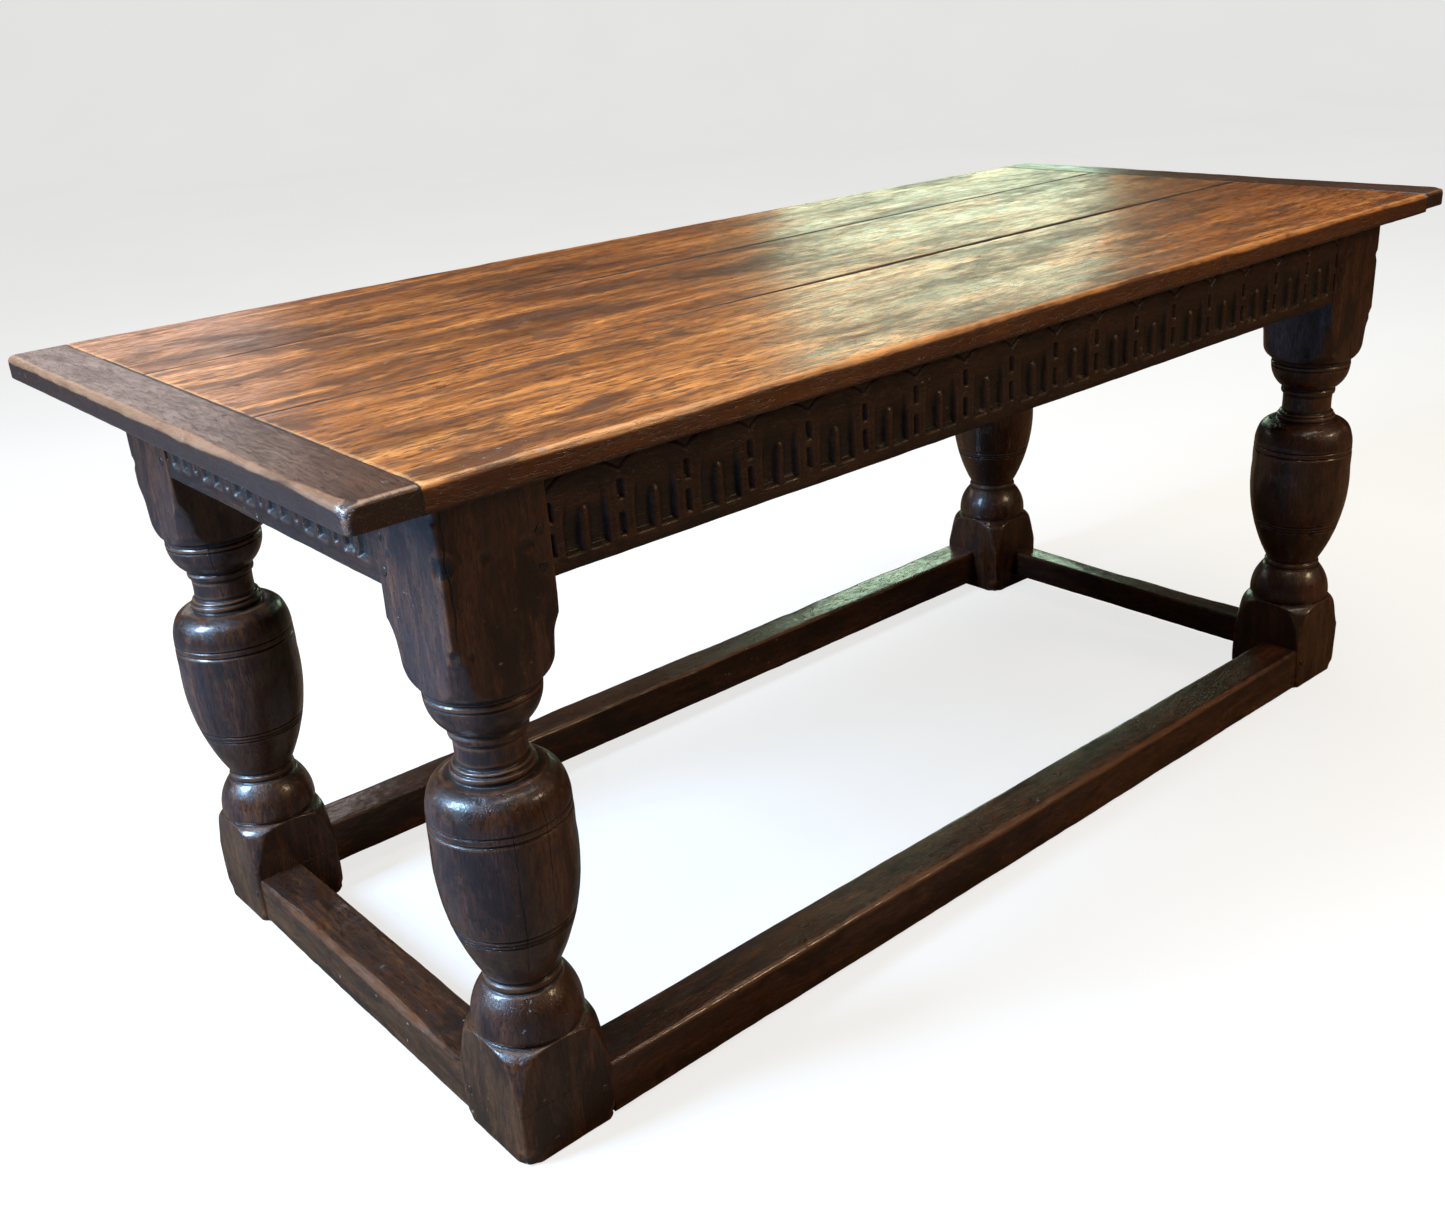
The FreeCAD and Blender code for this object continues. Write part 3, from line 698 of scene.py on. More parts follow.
def make_stretcher(side, seed):
    """A low rail, its outer top corner rounded off by feet, most of all at mid length."""
    node = "stretcher_" + side
    low, high = front_box(node, side)
    span = side_span(side)
    along = np.linspace(-span / 2 - RAIL_BURIED, span / 2 + RAIL_BURIED, int(round(span / (2.9 * MM))))
    steps = (5 * MM, 2.6 * MM, 2.6 * MM, 2.6 * MM)
    plan = section_plan(high[1] - low[1], high[2] - low[2], steps)
    trodden = np.clip(1 - np.abs(along / (span / 2)) ** 4, 0, 1)
    roam = [line_noise(along, size, seed + k, 3) for k, size in enumerate((0.09, 0.13, 0.1, 0.1))]
    outer_top = MM * (4.5 + 5.5 * trodden * (0.75 + 0.4 * roam[0]))
    radii = (MM * (2.6 + 0.9 * roam[2]), MM * (5.0 + 1.8 * roam[1]), outer_top, MM * (2.8 + 1.2 * roam[3]))
    grid = along_x(along, rounded_sections(plan, low[1], high[1], low[2], high[2], radii))
    out = smooth_step(-(grid[..., 1] - low[1]), -0.035, 0.0)
    up = smooth_step(grid[..., 2], high[2] - 0.02, high[2])
    patch = np.clip(0.6 + 0.6 * noise(grid, (0.16, 1, 1), seed + 9, 2), 0, 1.3)
    grid[..., 2] -= MM * 2.2 * out * up * trodden[:, None] * patch
    grid = age(grid, seed, wave=0.9, fine=0.18, edge=0.6)
    return loft(node, onto_side(grid, side))


# ---------------------------------------------------------------- top

FEEL_DEPTH = 9 * MM  # how far below the top its edges are felt, clear of the rounded arrises
TIGHT_ARRIS = 0.7 * MM
JOINT_TRIM = 0.12 * MM
JOINT_LAP = 0.6 * MM  # how far boards and cleats run into each other low down, so no light shows through
END_JOINT_REACH = 3.0 * MM
WORN_ARRIS = 2.8 * MM
ROUND_END = 6 * MM
OPENING_RUN = (-0.5, 0.05)  # where along X the joint behind the front board opens up


def edge_line(felt, positions, z, axis, side):
    """The far edge of a board at each position: axis 0 feels along Y at each x, axis 1 along X at each y."""
    found = []
    for p in positions:
        start = (p, side * 1.5) if axis == 0 else (side * 1.5, p)
        way = (0, -side, 0) if axis == 0 else (-side, 0, 0)
        place = felt.probe((*start, z), way)
        found.append(np.nan if place is None else place[1 - axis])
    found = np.array(found)
    good = ~np.isnan(found)
    return np.interp(positions, np.asarray(positions)[good], found[good])


def near_top(z, top):
    """1 on the upper surface of the top, fading to 0 just below it."""
    return smooth_step(z, top - 6 * MM, top - 2 * MM)


def low_down(z, top):
    """1 in the lower part of the top's thickness, where the joints are tight."""
    return smooth_step(-z, -(top - 5 * MM), -(top - 8 * MM))


def cup_surface(grid, above, size, seed):
    """Sink the upper surface unevenly, as boards cup and wear."""
    cup = 0.5 + 0.5 * noise(grid, size, seed, 2)
    grid[..., 2] -= MM * 0.9 * above * cup


def board_stations(x0, x1):
    """Places along a board, the last few close to the joints with the cleats."""
    inner = np.linspace(x0 + 2.5 * MM, x1 - 2.5 * MM, 418)
    return np.concatenate([[x0 + JOINT_TRIM, x0 + 0.9 * MM], inner, [x1 - 0.9 * MM, x1 - JOINT_TRIM]])


def board_radii(along, seed, is_front, is_back):
    """Corner radii of a board's section: low back, top back, top front and low front."""
    rub = 1 + 0.4 * line_noise(along, 0.11, seed + 1, 3)
    dip = 1 + 0.4 * line_noise(along, 0.15, seed + 2, 3)
    opened = MM * (0.8 + 3.4 * smooth_step(along, *OPENING_RUN))
    shut = MM * (0.8 + 0.9 * smooth_step(along, 0.0, 0.4))
    back_joint = opened if is_front else shut
    front_joint = shut if is_back else opened
    return (
        WORN_ARRIS if is_back else TIGHT_ARRIS, MM * 5.5 * dip if is_back else back_joint,
        MM * 7.0 * rub if is_front else front_joint, WORN_ARRIS if is_front else TIGHT_ARRIS,
    )


def make_board(part, seed):
    node = "top_board_" + part
    is_front, is_back = part == "front", part == "back"
    felt = Felt(node)
    top = felt.high.z
    x0, x1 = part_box("end_cleat_left")[1].x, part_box("end_cleat_right")[0].x
    along = board_stations(x0, x1)
    feel = np.clip(along, x0 + 2 * MM, x1 - 2 * MM)
    front = edge_line(felt, feel, top - FEEL_DEPTH, 0, -1)
    back = edge_line(felt, feel, top - FEEL_DEPTH, 0, 1)
    steps = (14 * MM, 3 * MM, 3.9 * MM, 3 * MM)
    plan = section_plan(float(np.median(back - front)), top - felt.low.z, steps)
    radii = board_radii(along, seed, is_front, is_back)
    grid = along_x(along, rounded_sections(plan, front, back, felt.low.z, top, radii))
    end_gap = np.minimum(along - x0, x1 - along)
    drop = MM * 0.7 * np.clip(1 - end_gap / (2.2 * MM), 0, 1)
    above = near_top(grid[..., 2], top)
    grid[..., 2] -= above * drop[:, None]
    cup_surface(grid, above, (0.5, 0.16, 1.0), seed + 5)
    grid = age(grid, seed, wave=0.25, fine=0.10, edge=0.5)
    to_front, to_back = np.abs(grid[..., 1] - front[:, None]), np.abs(grid[..., 1] - back[:, None])
    behind = (to_back < 2 * MM) & (not is_back)
    ahead = (to_front < 2 * MM) & (not is_front)
    grid[..., 1] += JOINT_LAP * low_down(grid[..., 2], top) * (behind.astype(float) - ahead)
    gape = 2.8 * MM + 3.4 * MM * smooth_step(along, *OPENING_RUN)[:, None]
    side_share = np.minimum(to_front, to_back) / gape
    joint = np.clip(1 - np.minimum(side_share, end_gap[:, None] / END_JOINT_REACH), 0, 1)
    middle = (front + back)[:, None] / 2
    if is_front:
        joint = joint * (grid[..., 1] > middle)
    if is_back:
        joint = joint * (grid[..., 1] < middle)
    return loft(node, grid, {"joint": joint, "stain_and_reflection": stains_and_dark_reflection(grid)})


# Dark stains on the top, and one painted dark reflection: x, y, half length, half width, strength
STAINS_AND_DARK_REFLECTION = (
    (-0.70, 0.23, 0.10, 0.05, 0.9), (-0.60, 0.19, 0.13, 0.03, 0.7), (-0.52, -0.02, 0.09, 0.03, 0.6),
    (-0.30, 0.27, 0.16, 0.05, 0.7), (-0.12, 0.06, 0.22, 0.05, 0.55), (0.10, 0.20, 0.2, 0.07, 0.45),
    (-0.45, -0.20, 0.15, 0.02, 0.4), (-0.05, -0.28, 0.13, 0.03, 0.45), (0.22, -0.33, 0.1, 0.02, 0.35),
    (0.62, -0.05, 0.2, 0.07, 0.5), (0.75, 0.2, 0.12, 0.1, 0.5), (0.45, 0.31, 0.22, 0.04, 0.4),
    # The first entry below is a painted dark reflection over the right end of the top.
    (0.74, -0.02, 0.2, 0.26, 0.42), (-0.62, 0.05, 0.16, 0.02, 0.75), (-0.38, 0.02, 0.1, 0.015, 0.6),
    (-0.80, -0.30, 0.06, 0.03, 0.5), (-0.20, 0.38, 0.2, 0.02, 0.5), (0.80, -0.33, 0.07, 0.05, 0.4),
)


def stains_and_dark_reflection(grid):
    """How darkly the top is stained at each point, from 0 to 1, with a painted dark reflection over its
    right end.
    """
    ragged_x = noise(grid, (0.09, 0.03, 1), 201, 3)
    ragged_y = 0.5 * noise(grid, (0.09, 0.03, 1), 202, 3)
    total = np.zeros(grid.shape[:-1])
    for x, y, long, wide, strength in STAINS_AND_DARK_REFLECTION:
        along = (grid[..., 0] + 0.03 * ragged_x - x) / long
        across = (grid[..., 1] + 0.03 * ragged_y - y) / wide
        total = np.maximum(total, strength * np.exp(-(along ** 2 + across ** 2) * 1.1))
    return total


def make_cleat(part, seed):
    node = "end_cleat_" + part
    end = -1 if part == "left" else 1
    felt = Felt(node)
    top = felt.high.z
    y0, y1 = felt.low.y, felt.high.y
    near = np.array([0.15, 0.5, 1.1, 2.0, 3.2, 4.8, 6.6, 8.6]) * MM
    middle = np.arange(y0 + 10.5 * MM, y1 - 10.5 * MM, 2.4 * MM)
    along = np.concatenate([y0 + near, middle, y1 - near[::-1]])
    outer = edge_line(felt, along, top - FEEL_DEPTH, 1, end)
    inner = felt.high.x if end < 0 else felt.low.x
    joint_x = inner + end * JOINT_TRIM
    steps = (4 * MM, 2.4 * MM, 2.4 * MM, 2.4 * MM)
    plan = section_plan(felt.high.x - felt.low.x, top - felt.low.z, steps)
    drop = np.clip(ROUND_END - np.minimum(along - y0, y1 - along), 0, None)
    fall = ROUND_END - np.sqrt(np.maximum(ROUND_END ** 2 - drop ** 2, 0))
    u0, u1 = np.minimum(joint_x, outer), np.maximum(joint_x, outer)
    limit = np.maximum((u1 - u0) / 2 - 0.5 * MM, 0.3 * MM)
    rub = 1 + 0.35 * line_noise(along, 0.09, seed + 1, 3)
    outer_top = np.minimum(MM * 8.0 * rub, limit)
    outer_low = np.minimum(3.4 * MM, limit)
    radii = (outer_low, outer_top, TIGHT_ARRIS, TIGHT_ARRIS)
    if end < 0:
        radii = radii[::-1]
    flat = rounded_sections(plan, u0, u1, felt.low.z + 0.4 * fall, top - fall, radii)
    across, up = flat[..., 0], flat[..., 1]
    grid = np.stack([across, np.broadcast_to(along[:, None], across.shape), up], -1)
    cup_surface(grid, near_top(grid[..., 2], top), (0.16, 0.3, 1.0), seed + 5)
    grid = age(grid, seed, wave=0.5, fine=0.12, edge=0.5)
    corner = (outer[len(outer) // 2] - end * 3 * MM, y0 + 4 * MM, top)
    grid = chipped(grid, [(corner, 16 * MM, 3 * MM)])
    side_gap = np.abs(grid[..., 0] - joint_x)
    grid[..., 0] -= end * JOINT_LAP * low_down(grid[..., 2], top) * (side_gap < 2 * MM)
    joint = np.clip(1 - side_gap / END_JOINT_REACH, 0, 1)
    return loft(node, grid, {"joint": joint, "stain_and_reflection": stains_and_dark_reflection(grid) * 0.5})


# ---------------------------------------------------------------- pegs

PEG_SIDES = 18
PEG_SHARES = (0.55, 0.86, 0.965, 1.0, 1.0, 1.0)  # radius at each ring, from the head's middle outwards
PEG_DEPTHS = (0.0, 0.05, 0.28, 0.8, 4.0, 26.0)  # how far each ring lies below the head, in millimetres
PEG_LOBES = 5
PEG_SEED = 71


def loose_parts(mesh):
    """The corners of each separate solid in a mesh, as arrays of points."""
    points = mesh_points(mesh)
    _, home = np.unique(points.round(6), axis=0, return_inverse=True)
    home = home.ravel()
    owner = np.arange(home.max() + 1)

    def root(k):
        while owner[k] != k:
            owner[k] = owner[owner[k]]
            k = owner[k]
        return k

    for face in mesh.polygons:
        corners = [root(home[v]) for v in face.vertices]
        for corner in corners[1:]:
            owner[root(corner)] = root(corners[0])
    roots = np.array([root(home[k]) for k in range(len(points))])
    return [points[roots == k] for k in np.unique(roots)]


def peg_rings(points, generator):
    """Rings of one riven peg that stands in the place of a turned one, from its head inwards."""
    low, high = points.min(axis=0), points.max(axis=0)
    size = high - low
    axis = int(np.argmax(size))
    middle = (low + high) / 2
    outward = math.copysign(1, middle[axis])
    head = high[axis] if outward > 0 else low[axis]
    across = [k for k in range(3) if k != axis]
    depth = min(size[axis] - 0.5 * MM, PEG_DEPTHS[-1] * MM)
    sweep = np.arange(PEG_SIDES) * 2 * math.pi / PEG_SIDES
    lobes = 1 + 0.05 * np.sin(sweep * PEG_LOBES + generator.uniform(0, 6))
    radius = size[across[0]] / 2 * lobes * generator.uniform(0.94, 1.0, PEG_SIDES)
    tilt = generator.uniform(-0.25, 0.25, 2) * MM
    sunk = generator.uniform(0.45, 0.8) * MM
    rings = []
    for share, below in zip(PEG_SHARES, PEG_DEPTHS):
        ring = np.zeros((PEG_SIDES, 3))
        ring[:, across[0]] = middle[across[0]] + radius * share * np.cos(sweep)
        ring[:, across[1]] = middle[across[1]] + radius * share * np.sin(sweep)
        lean = (tilt[0] * np.cos(sweep) + tilt[1] * np.sin(sweep)) * share
        ring[:, axis] = head - outward * (sunk + min(below * MM, depth - 1 * MM)) + lean
        rings.append(ring)
    return rings


def peg_faces(start):
    """Faces that join one peg's rings, whose points begin at start, and close its two ends."""
    faces = []
    for row in range(len(PEG_SHARES) - 1):
        first = start + row * PEG_SIDES
        for k in range(PEG_SIDES):
            a, b = first + k, first + (k + 1) % PEG_SIDES
            faces.append((a, b, b + PEG_SIDES, a + PEG_SIDES))
    last = start + (len(PEG_SHARES) - 1) * PEG_SIDES
    faces.append(tuple(range(start, start + PEG_SIDES)))
    faces.append(tuple(range(last + PEG_SIDES - 1, last - 1, -1)))
    return faces


def make_pegs(node, seed):
    """All the pegs of one CAD node as a single piece."""
    generator = np.random.default_rng(seed)
    points, faces = [], []
    for part in loose_parts(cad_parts[node].data):
        faces += peg_faces(len(points))
        for ring in peg_rings(part, generator):
            points += ring.tolist()
    mesh = smooth_mesh(node + "_oak", points, faces)
    shaped = bmesh.new()
    shaped.from_mesh(mesh)
    bmesh.ops.recalc_face_normals(shaped, faces=shaped.faces)
    shaped.to_mesh(mesh)
    shaped.free()
    return stand_for(linked(node + "_oak", mesh), node)


# ---------------------------------------------------------------- material building

class Nodes:
    """A small kit for wiring a node material."""

    def __init__(self, name):
        self.material = bpy.data.materials.new(name)
        self.material.use_nodes = True
        self.tree = self.material.node_tree
        self.tree.nodes.clear()

    def add(self, kind, inputs=None, **settings):
        node = self.tree.nodes.new(kind)
        for key, value in settings.items():
            setattr(node, key, value)
        for key, value in (inputs or {}).items():
            self.put(value, node.inputs[key])
        return node

    def put(self, value, socket):
        """Link a socket, or set a plain value."""
        if isinstance(value, bpy.types.NodeSocket):
            self.tree.links.new(value, socket)
        else:
            socket.default_value = value

    def math(self, operation, a, b=0.0, clamp=False):
        node = self.add("ShaderNodeMath", {0: a, 1: b, 2: 0.0}, operation=operation, use_clamp=clamp)
        return node.outputs[0]

    def times(self, a, b, clamp=False):
        return self.math("MULTIPLY", a, b, clamp)

    def plus(self, a, b, clamp=False):
        return self.math("ADD", a, b, clamp)

    def minus(self, a, b):
        return self.math("SUBTRACT", a, b)

    def between(self, value, low, high, to_low=0.0, to_high=1.0):
        """A smooth, clamped change of range."""
        node = self.add("ShaderNodeMapRange", {
            "Value": value, "From Min": low, "From Max": high, "To Min": to_low, "To Max": to_high,
        }, interpolation_type="SMOOTHSTEP")
        return node.outputs["Result"]

    def blend(self, share, a, b):
        node = self.add("ShaderNodeMix", data_type="RGBA", blend_type="MIX", clamp_factor=True)
        self.put(share, node.inputs["Factor"])
        self.put(a, node.inputs[6])
        self.put(b, node.inputs[7])
        return node.outputs[2]

    def noise(self, place, scale, detail=4.0, rough=0.55, twist=0.0):
        node = self.add("ShaderNodeTexNoise", {
            "Vector": place, "Scale": scale, "Detail": detail, "Roughness": rough, "Distortion": twist,
        })
        return node.outputs["Fac"]

    def vector(self, operation, place, other):
        """A sum or a product of coordinates, axis by axis."""
        return self.add("ShaderNodeVectorMath", {0: place, 1: other}, operation=operation).outputs[0]

    def field(self, name):
        return self.add("ShaderNodeAttribute", attribute_name=name).outputs["Fac"]


def grain_place(kit, grain, seed):
    """Coordinates with the grain turned along X, wandering slightly, shifted for each piece."""
    place = kit.add("ShaderNodeTexCoord").outputs["Object"]
    parts = kit.add("ShaderNodeSeparateXYZ", {0: place})
    order = {"X": (0, 1, 2), "Y": (1, 0, 2), "Z": (2, 0, 1)}[grain]
    turned = kit.add("ShaderNodeCombineXYZ", {k: parts.outputs[axis] for k, axis in enumerate(order)})
    shift = (seed * 0.37 % 5, seed * 0.73 % 5, seed * 0.19 % 5)
    moved = kit.vector("ADD", turned.outputs[0], shift)
    sway = kit.noise(kit.vector("MULTIPLY", moved, (2.2, 7.0, 7.0)), 1.0, 2.0)
    sway = kit.times(kit.minus(sway, 0.5), 0.035)
    push = kit.add("ShaderNodeCombineXYZ", {1: sway, 2: sway}).outputs[0]
    return kit.vector("ADD", moved, push)


# ---------------------------------------------------------------- oak

# Tones of the wood, from the grime and painted shade in its hollows to where the finish has rubbed through,
# and its polish
PEG_FINISH = dict(shine=(0.3, 0.5), figure=0.8, coat=(0.1, 0.4), polish=0.3, rub=0.4, size=1.5)
LOOKS = {
    "top": dict(
        deep=(0.016, 0.0062, 0.0028), dark=(0.082, 0.026, 0.0080), middle=(0.36, 0.115, 0.025),
        light=(0.90, 0.365, 0.092), warm=(0.78, 0.37, 0.115), patina=0.86, shine=(0.26, 0.50),
        figure=1.0, coat=(0.26, 0.62), polish=0.26, rub=0.5, size=1.0,
    ),
    "cleat": dict(
        deep=(0.013, 0.006, 0.004), dark=(0.032, 0.014, 0.008), middle=(0.076, 0.033, 0.018),
        light=(0.13, 0.062, 0.034), warm=(0.40, 0.19, 0.090), patina=0.5, shine=(0.28, 0.42),
        figure=0.8, coat=(0.36, 0.62), polish=0.29, rub=0.5, size=1.2,
    ),
    "frame": dict(
        deep=(0.0045, 0.0016, 0.0008), dark=(0.0150, 0.0047, 0.0019), middle=(0.062, 0.0185, 0.0058),
        light=(0.160, 0.053, 0.0155), warm=(0.24, 0.088, 0.030), patina=0.84, shine=(0.26, 0.46),
        figure=1.0, coat=(0.50, 1.0), polish=0.11, rub=0.42, size=1.7,
    ),
    "carved": dict(
        deep=(0.0034, 0.0012, 0.0006), dark=(0.0120, 0.0038, 0.0015), middle=(0.040, 0.0125, 0.0040),
        light=(0.096, 0.032, 0.0098), warm=(0.14, 0.052, 0.017), patina=0.70, shine=(0.34, 0.56),
        figure=0.95, coat=(0.10, 0.35), polish=0.26, rub=0.2, size=1.6,
    ),
    "top_peg": dict(
        PEG_FINISH, patina=0.5, deep=(0.018, 0.009, 0.005), dark=(0.055, 0.024, 0.010),
        middle=(0.14, 0.060, 0.022), light=(0.25, 0.12, 0.045), warm=(0.3, 0.15, 0.06),
    ),
    "peg": dict(
        PEG_FINISH, patina=0.4, deep=(0.006, 0.004, 0.003), dark=(0.012, 0.007, 0.004),
        middle=(0.030, 0.016, 0.009), light=(0.06, 0.034, 0.018), warm=(0.10, 0.055, 0.03),
    ),
}
DUST = (0.30, 0.26, 0.22, 1)
CRACK_BLACK = (0.002, 0.0012, 0.001, 1)
BUMP_DEPTH = 0.7 * MM
WAX_IOR = 1.5
RELIEF = {"pores": -0.35, "fine": 0.40, "flecks": -0.45, "streak": 1.0, "swell": 1.1}


def opaque(colour):
    return (*colour, 1)


def wood_waves(kit, place, size):
    """The noises that everything in the wood is drawn from, with the grain along the first axis."""
    def wave(along, across, detail, rough, twist=0.0):
        stretch = (along * size, across * size, across * size)
        return kit.noise(kit.vector("MULTIPLY", place, stretch), 1.0, detail, rough, twist)

    streak = wave(3.4, 34, 8.0, 0.66, 0.4)
    fine = wave(24, 260, 4.0, 0.6)
    broad = wave(1.3, 9.0, 3.0, 0.5)
    figure = kit.plus(kit.times(streak, 0.60), kit.times(fine, 0.26))
    return {
        "streak": streak,
        "fine": fine,
        "figure": kit.plus(figure, kit.times(broad, 0.14)),
        "cloud": wave(4.6, 13.0, 7.0, 0.68, 0.5),
        "mottle": wave(19, 52, 5.0, 0.65),
        "flecks": kit.between(wave(34, 230, 3.0, 0.65), 0.53, 0.60),
        "pores": kit.between(wave(48, 640, 2.0, 0.5), 0.58, 0.68),
        "swell": wave(5.0, 11.0, 2.0, 0.5),
    }


def wood_colour(kit, tone, waves):
    """Grain figure, patches of dark patina, flecks and pores."""
    ramp = kit.add("ShaderNodeValToRGB", {"Fac": waves["figure"]})
    stops = ramp.color_ramp.elements
    stops[0].position = 0.36
    stops[0].color = opaque(tone["dark"])
    stops[1].position = 0.66
    stops[1].color = opaque(tone["light"])
    stops.new(0.5).color = opaque(tone["middle"])
    dark = opaque(tone["dark"])
    patches = kit.times(kit.between(waves["cloud"], 0.49, 0.60), tone["patina"])
    colour = kit.blend(patches, ramp.outputs["Color"], dark)
    colour = kit.blend(kit.times(kit.between(waves["mottle"], 0.50, 0.62), 0.45), colour, dark)
    colour = kit.blend(kit.times(waves["flecks"], 0.80 * tone["figure"]), colour, dark)
    return kit.blend(kit.times(waves["pores"], 0.7 * tone["figure"]), colour, opaque(tone["deep"]))


def rubbed_share(kit, tone, mottle, edge):
    """How far the finish has rubbed through, on arrises and patchily near them."""
    patchy = kit.times(kit.minus(mottle, 0.55), 1.4)
    rub = kit.plus(kit.between(edge, 0.12, 0.75), patchy)
    return kit.times(kit.times(rub, kit.between(edge, 0.10, 0.45)), tone["rub"], clamp=True)


def mark_stain_and_reflection(kit, skin, stain_and_reflection):
    # Stains, and the painted dark reflection at the top's right end, drawn in the deep tone.
    ragged = kit.between(skin["waves"]["streak"], 0.25, 0.75, 0.55, 1.25)
    share = kit.times(stain_and_reflection, ragged, clamp=True)
    skin["colour"] = kit.blend(share, skin["colour"], skin["deep"])


def mark_joint(kit, skin, joint):
    """The dark line of an open joint between boards."""
    share = kit.between(joint, 0.14, 0.52)
    skin["colour"] = kit.blend(kit.times(share, 0.94), skin["colour"], CRACK_BLACK)
    skin["rough"] = kit.plus(skin["rough"], kit.times(share, 0.3))


def mark_sunk(kit, skin, sunk):
    """Darkening in carved hollows and turned grooves: partly grime, partly painted shade."""
    share = kit.times(kit.between(sunk, 0.2, 1.1), 0.75)
    skin["colour"] = kit.blend(share, skin["colour"], skin["deep"])
    skin["rough"] = kit.plus(skin["rough"], kit.times(sunk, 0.18))


def mark_scribe(kit, skin, scribe):
    """The line scribed round a leg's foot."""
    line = kit.times(kit.between(kit.math("ABSOLUTE", scribe), 1.4, 0.5), 0.75)
    skin["colour"] = kit.blend(line, skin["colour"], skin["deep"])
    skin["relief"] = kit.minus(skin["relief"], kit.times(line, 1.5))


def mark_cracks(kit, skin):
    """Drying cracks, black and open."""
    split = None
    for name in CRACK_NAMES:
        one = kit.between(kit.math("ABSOLUTE", kit.field(name)), 1.15, 0.55)
        split = one if split is None else kit.math("MAXIMUM", split, one)
    skin["colour"] = kit.blend(split, skin["colour"], CRACK_BLACK)
    skin["rough"] = kit.plus(skin["rough"], kit.times(split, 0.5))
    skin["relief"] = kit.minus(skin["relief"], kit.times(split, 4.0))


MARKS = {"stain_and_reflection": mark_stain_and_reflection, "joint": mark_joint, "sunk": mark_sunk, "scribe": mark_scribe}


def bare_oak(kit, tone, waves, shades_upright_faces):
    """Colour, roughness and relief of the wood with its patina, rubbed arrises and grime, and, where asked,
    painted shade on its upright faces.
    """
    edge = kit.field("edge")
    colour = wood_colour(kit, tone, waves)
    if shades_upright_faces:
        # Painted shade: faces that stand upright are blended towards the dark tone, as they catch less
        # light.
        painted_wall_shade = kit.times(kit.between(kit.field("upright"), 0.35, 0.9), 0.82)
        colour = kit.blend(painted_wall_shade, colour, opaque(tone["dark"]))
    colour = kit.blend(rubbed_share(kit, tone, waves["mottle"], edge), colour, opaque(tone["warm"]))
    grime = kit.times(kit.between(edge, -0.1, -0.8), 0.85, clamp=True)
    colour = kit.blend(grime, colour, opaque(tone["deep"]))
    rough = kit.between(waves["mottle"], 0.3, 0.7, *tone["shine"])
    rough = kit.plus(rough, kit.times(kit.between(waves["cloud"], 0.4, 0.7), 0.10))
    relief = None
    for name, height in RELIEF.items():
        part = kit.times(waves[name], height)
        relief = part if relief is None else kit.plus(relief, part)
    return {
        "colour": colour, "rough": rough, "relief": relief, "grime": grime, "waves": waves,
        "deep": opaque(tone["deep"]),
    }


def dust_share(kit, place, fields):
    """Pale specks here and there, and dust where the piece carries any."""
    speck = kit.between(kit.noise(place, 105, 3.0), 0.685, 0.71)
    somewhere = kit.between(kit.noise(place, 5.0, 2.0), 0.54, 0.64)
    dusty = kit.times(kit.times(speck, somewhere), 0.7)
    if "dust" in fields:
        dusty = kit.math("MAXIMUM", dusty, kit.times(kit.field("dust"), 0.8))
    return dusty


def aged_oak(name, look, grain, seed, fields=(), cracked=False):
    """Old waxed oak. Fields names the marks that the piece's mesh carries besides its edges and cracks."""
    tone = LOOKS[look]
    kit = Nodes(name)
    place = grain_place(kit, grain, seed)
    waves = wood_waves(kit, place, tone["size"])
    skin = bare_oak(kit, tone, waves, "upright" in fields)
    for field, mark in MARKS.items():
        if field in fields:
            mark(kit, skin, kit.field(field))
    if cracked:
        mark_cracks(kit, skin)
    dusty = dust_share(kit, place, fields)
    colour = kit.blend(dusty, skin["colour"], DUST)
    rough = kit.plus(skin["rough"], kit.times(dusty, 0.4))
    rough = kit.plus(rough, kit.times(skin["grime"], 0.15), clamp=True)
    coat = kit.between(waves["cloud"], 0.62, 0.38, *tone["coat"])
    coat = kit.times(coat, kit.minus(1.0, dusty))
    depth = BUMP_DEPTH / tone["size"] ** 1.8
    bump = kit.add("ShaderNodeBump", {"Strength": 0.8, "Distance": depth, "Height": skin["relief"]})
    shader = kit.add("ShaderNodeBsdfPrincipled", {
        "Base Color": colour, "Roughness": rough, "IOR": WAX_IOR, "Normal": bump.outputs[0],
        "Coat Weight": coat, "Coat Roughness": tone["polish"], "Coat IOR": WAX_IOR,
        "Coat Normal": bump.outputs[0],
    })
    kit.add("ShaderNodeOutputMaterial", {"Surface": shader.outputs[0]})
    return kit.material


def dress(piece, material):
    piece.data.materials.clear()
    piece.data.materials.append(material)


# ---------------------------------------------------------------- the table

TOP_FIELDS = ("upright", "stain_and_reflection", "joint")


def build_frame():
    for k, node in enumerate(LEG_NAMES):
        leg = make_leg(node, 11 + 7 * k)
        dress(leg, aged_oak(node + "_wood", "frame", "Z", 11 + k, ("scribe", "sunk"), cracked=True))
    for k, side in enumerate(("front", "back", "left", "right")):
        grain = "X" if side in ("front", "back") else "Y"
        frieze = make_frieze(side, 61 + 5 * k)
        dress(frieze, aged_oak("frieze_" + side + "_wood", "carved", grain, 21 + k, ("sunk", "dust")))
        stretcher = make_stretcher(side, 91 + 5 * k)
        dress(stretcher, aged_oak("stretcher_" + side + "_wood", "frame", grain, 31 + k))


def build_top():
    for k, part in enumerate(("front", "middle", "back")):
        board = make_board(part, 131 + 9 * k)
        dress(board, aged_oak("top_board_" + part + "_wood", "top", "X", 41 + k, TOP_FIELDS))
    for k, part in enumerate(("left", "right")):
        cleat = make_cleat(part, 171 + 9 * k)
        dress(cleat, aged_oak("end_cleat_" + part + "_wood", "cleat", "Y", 51 + k, TOP_FIELDS))


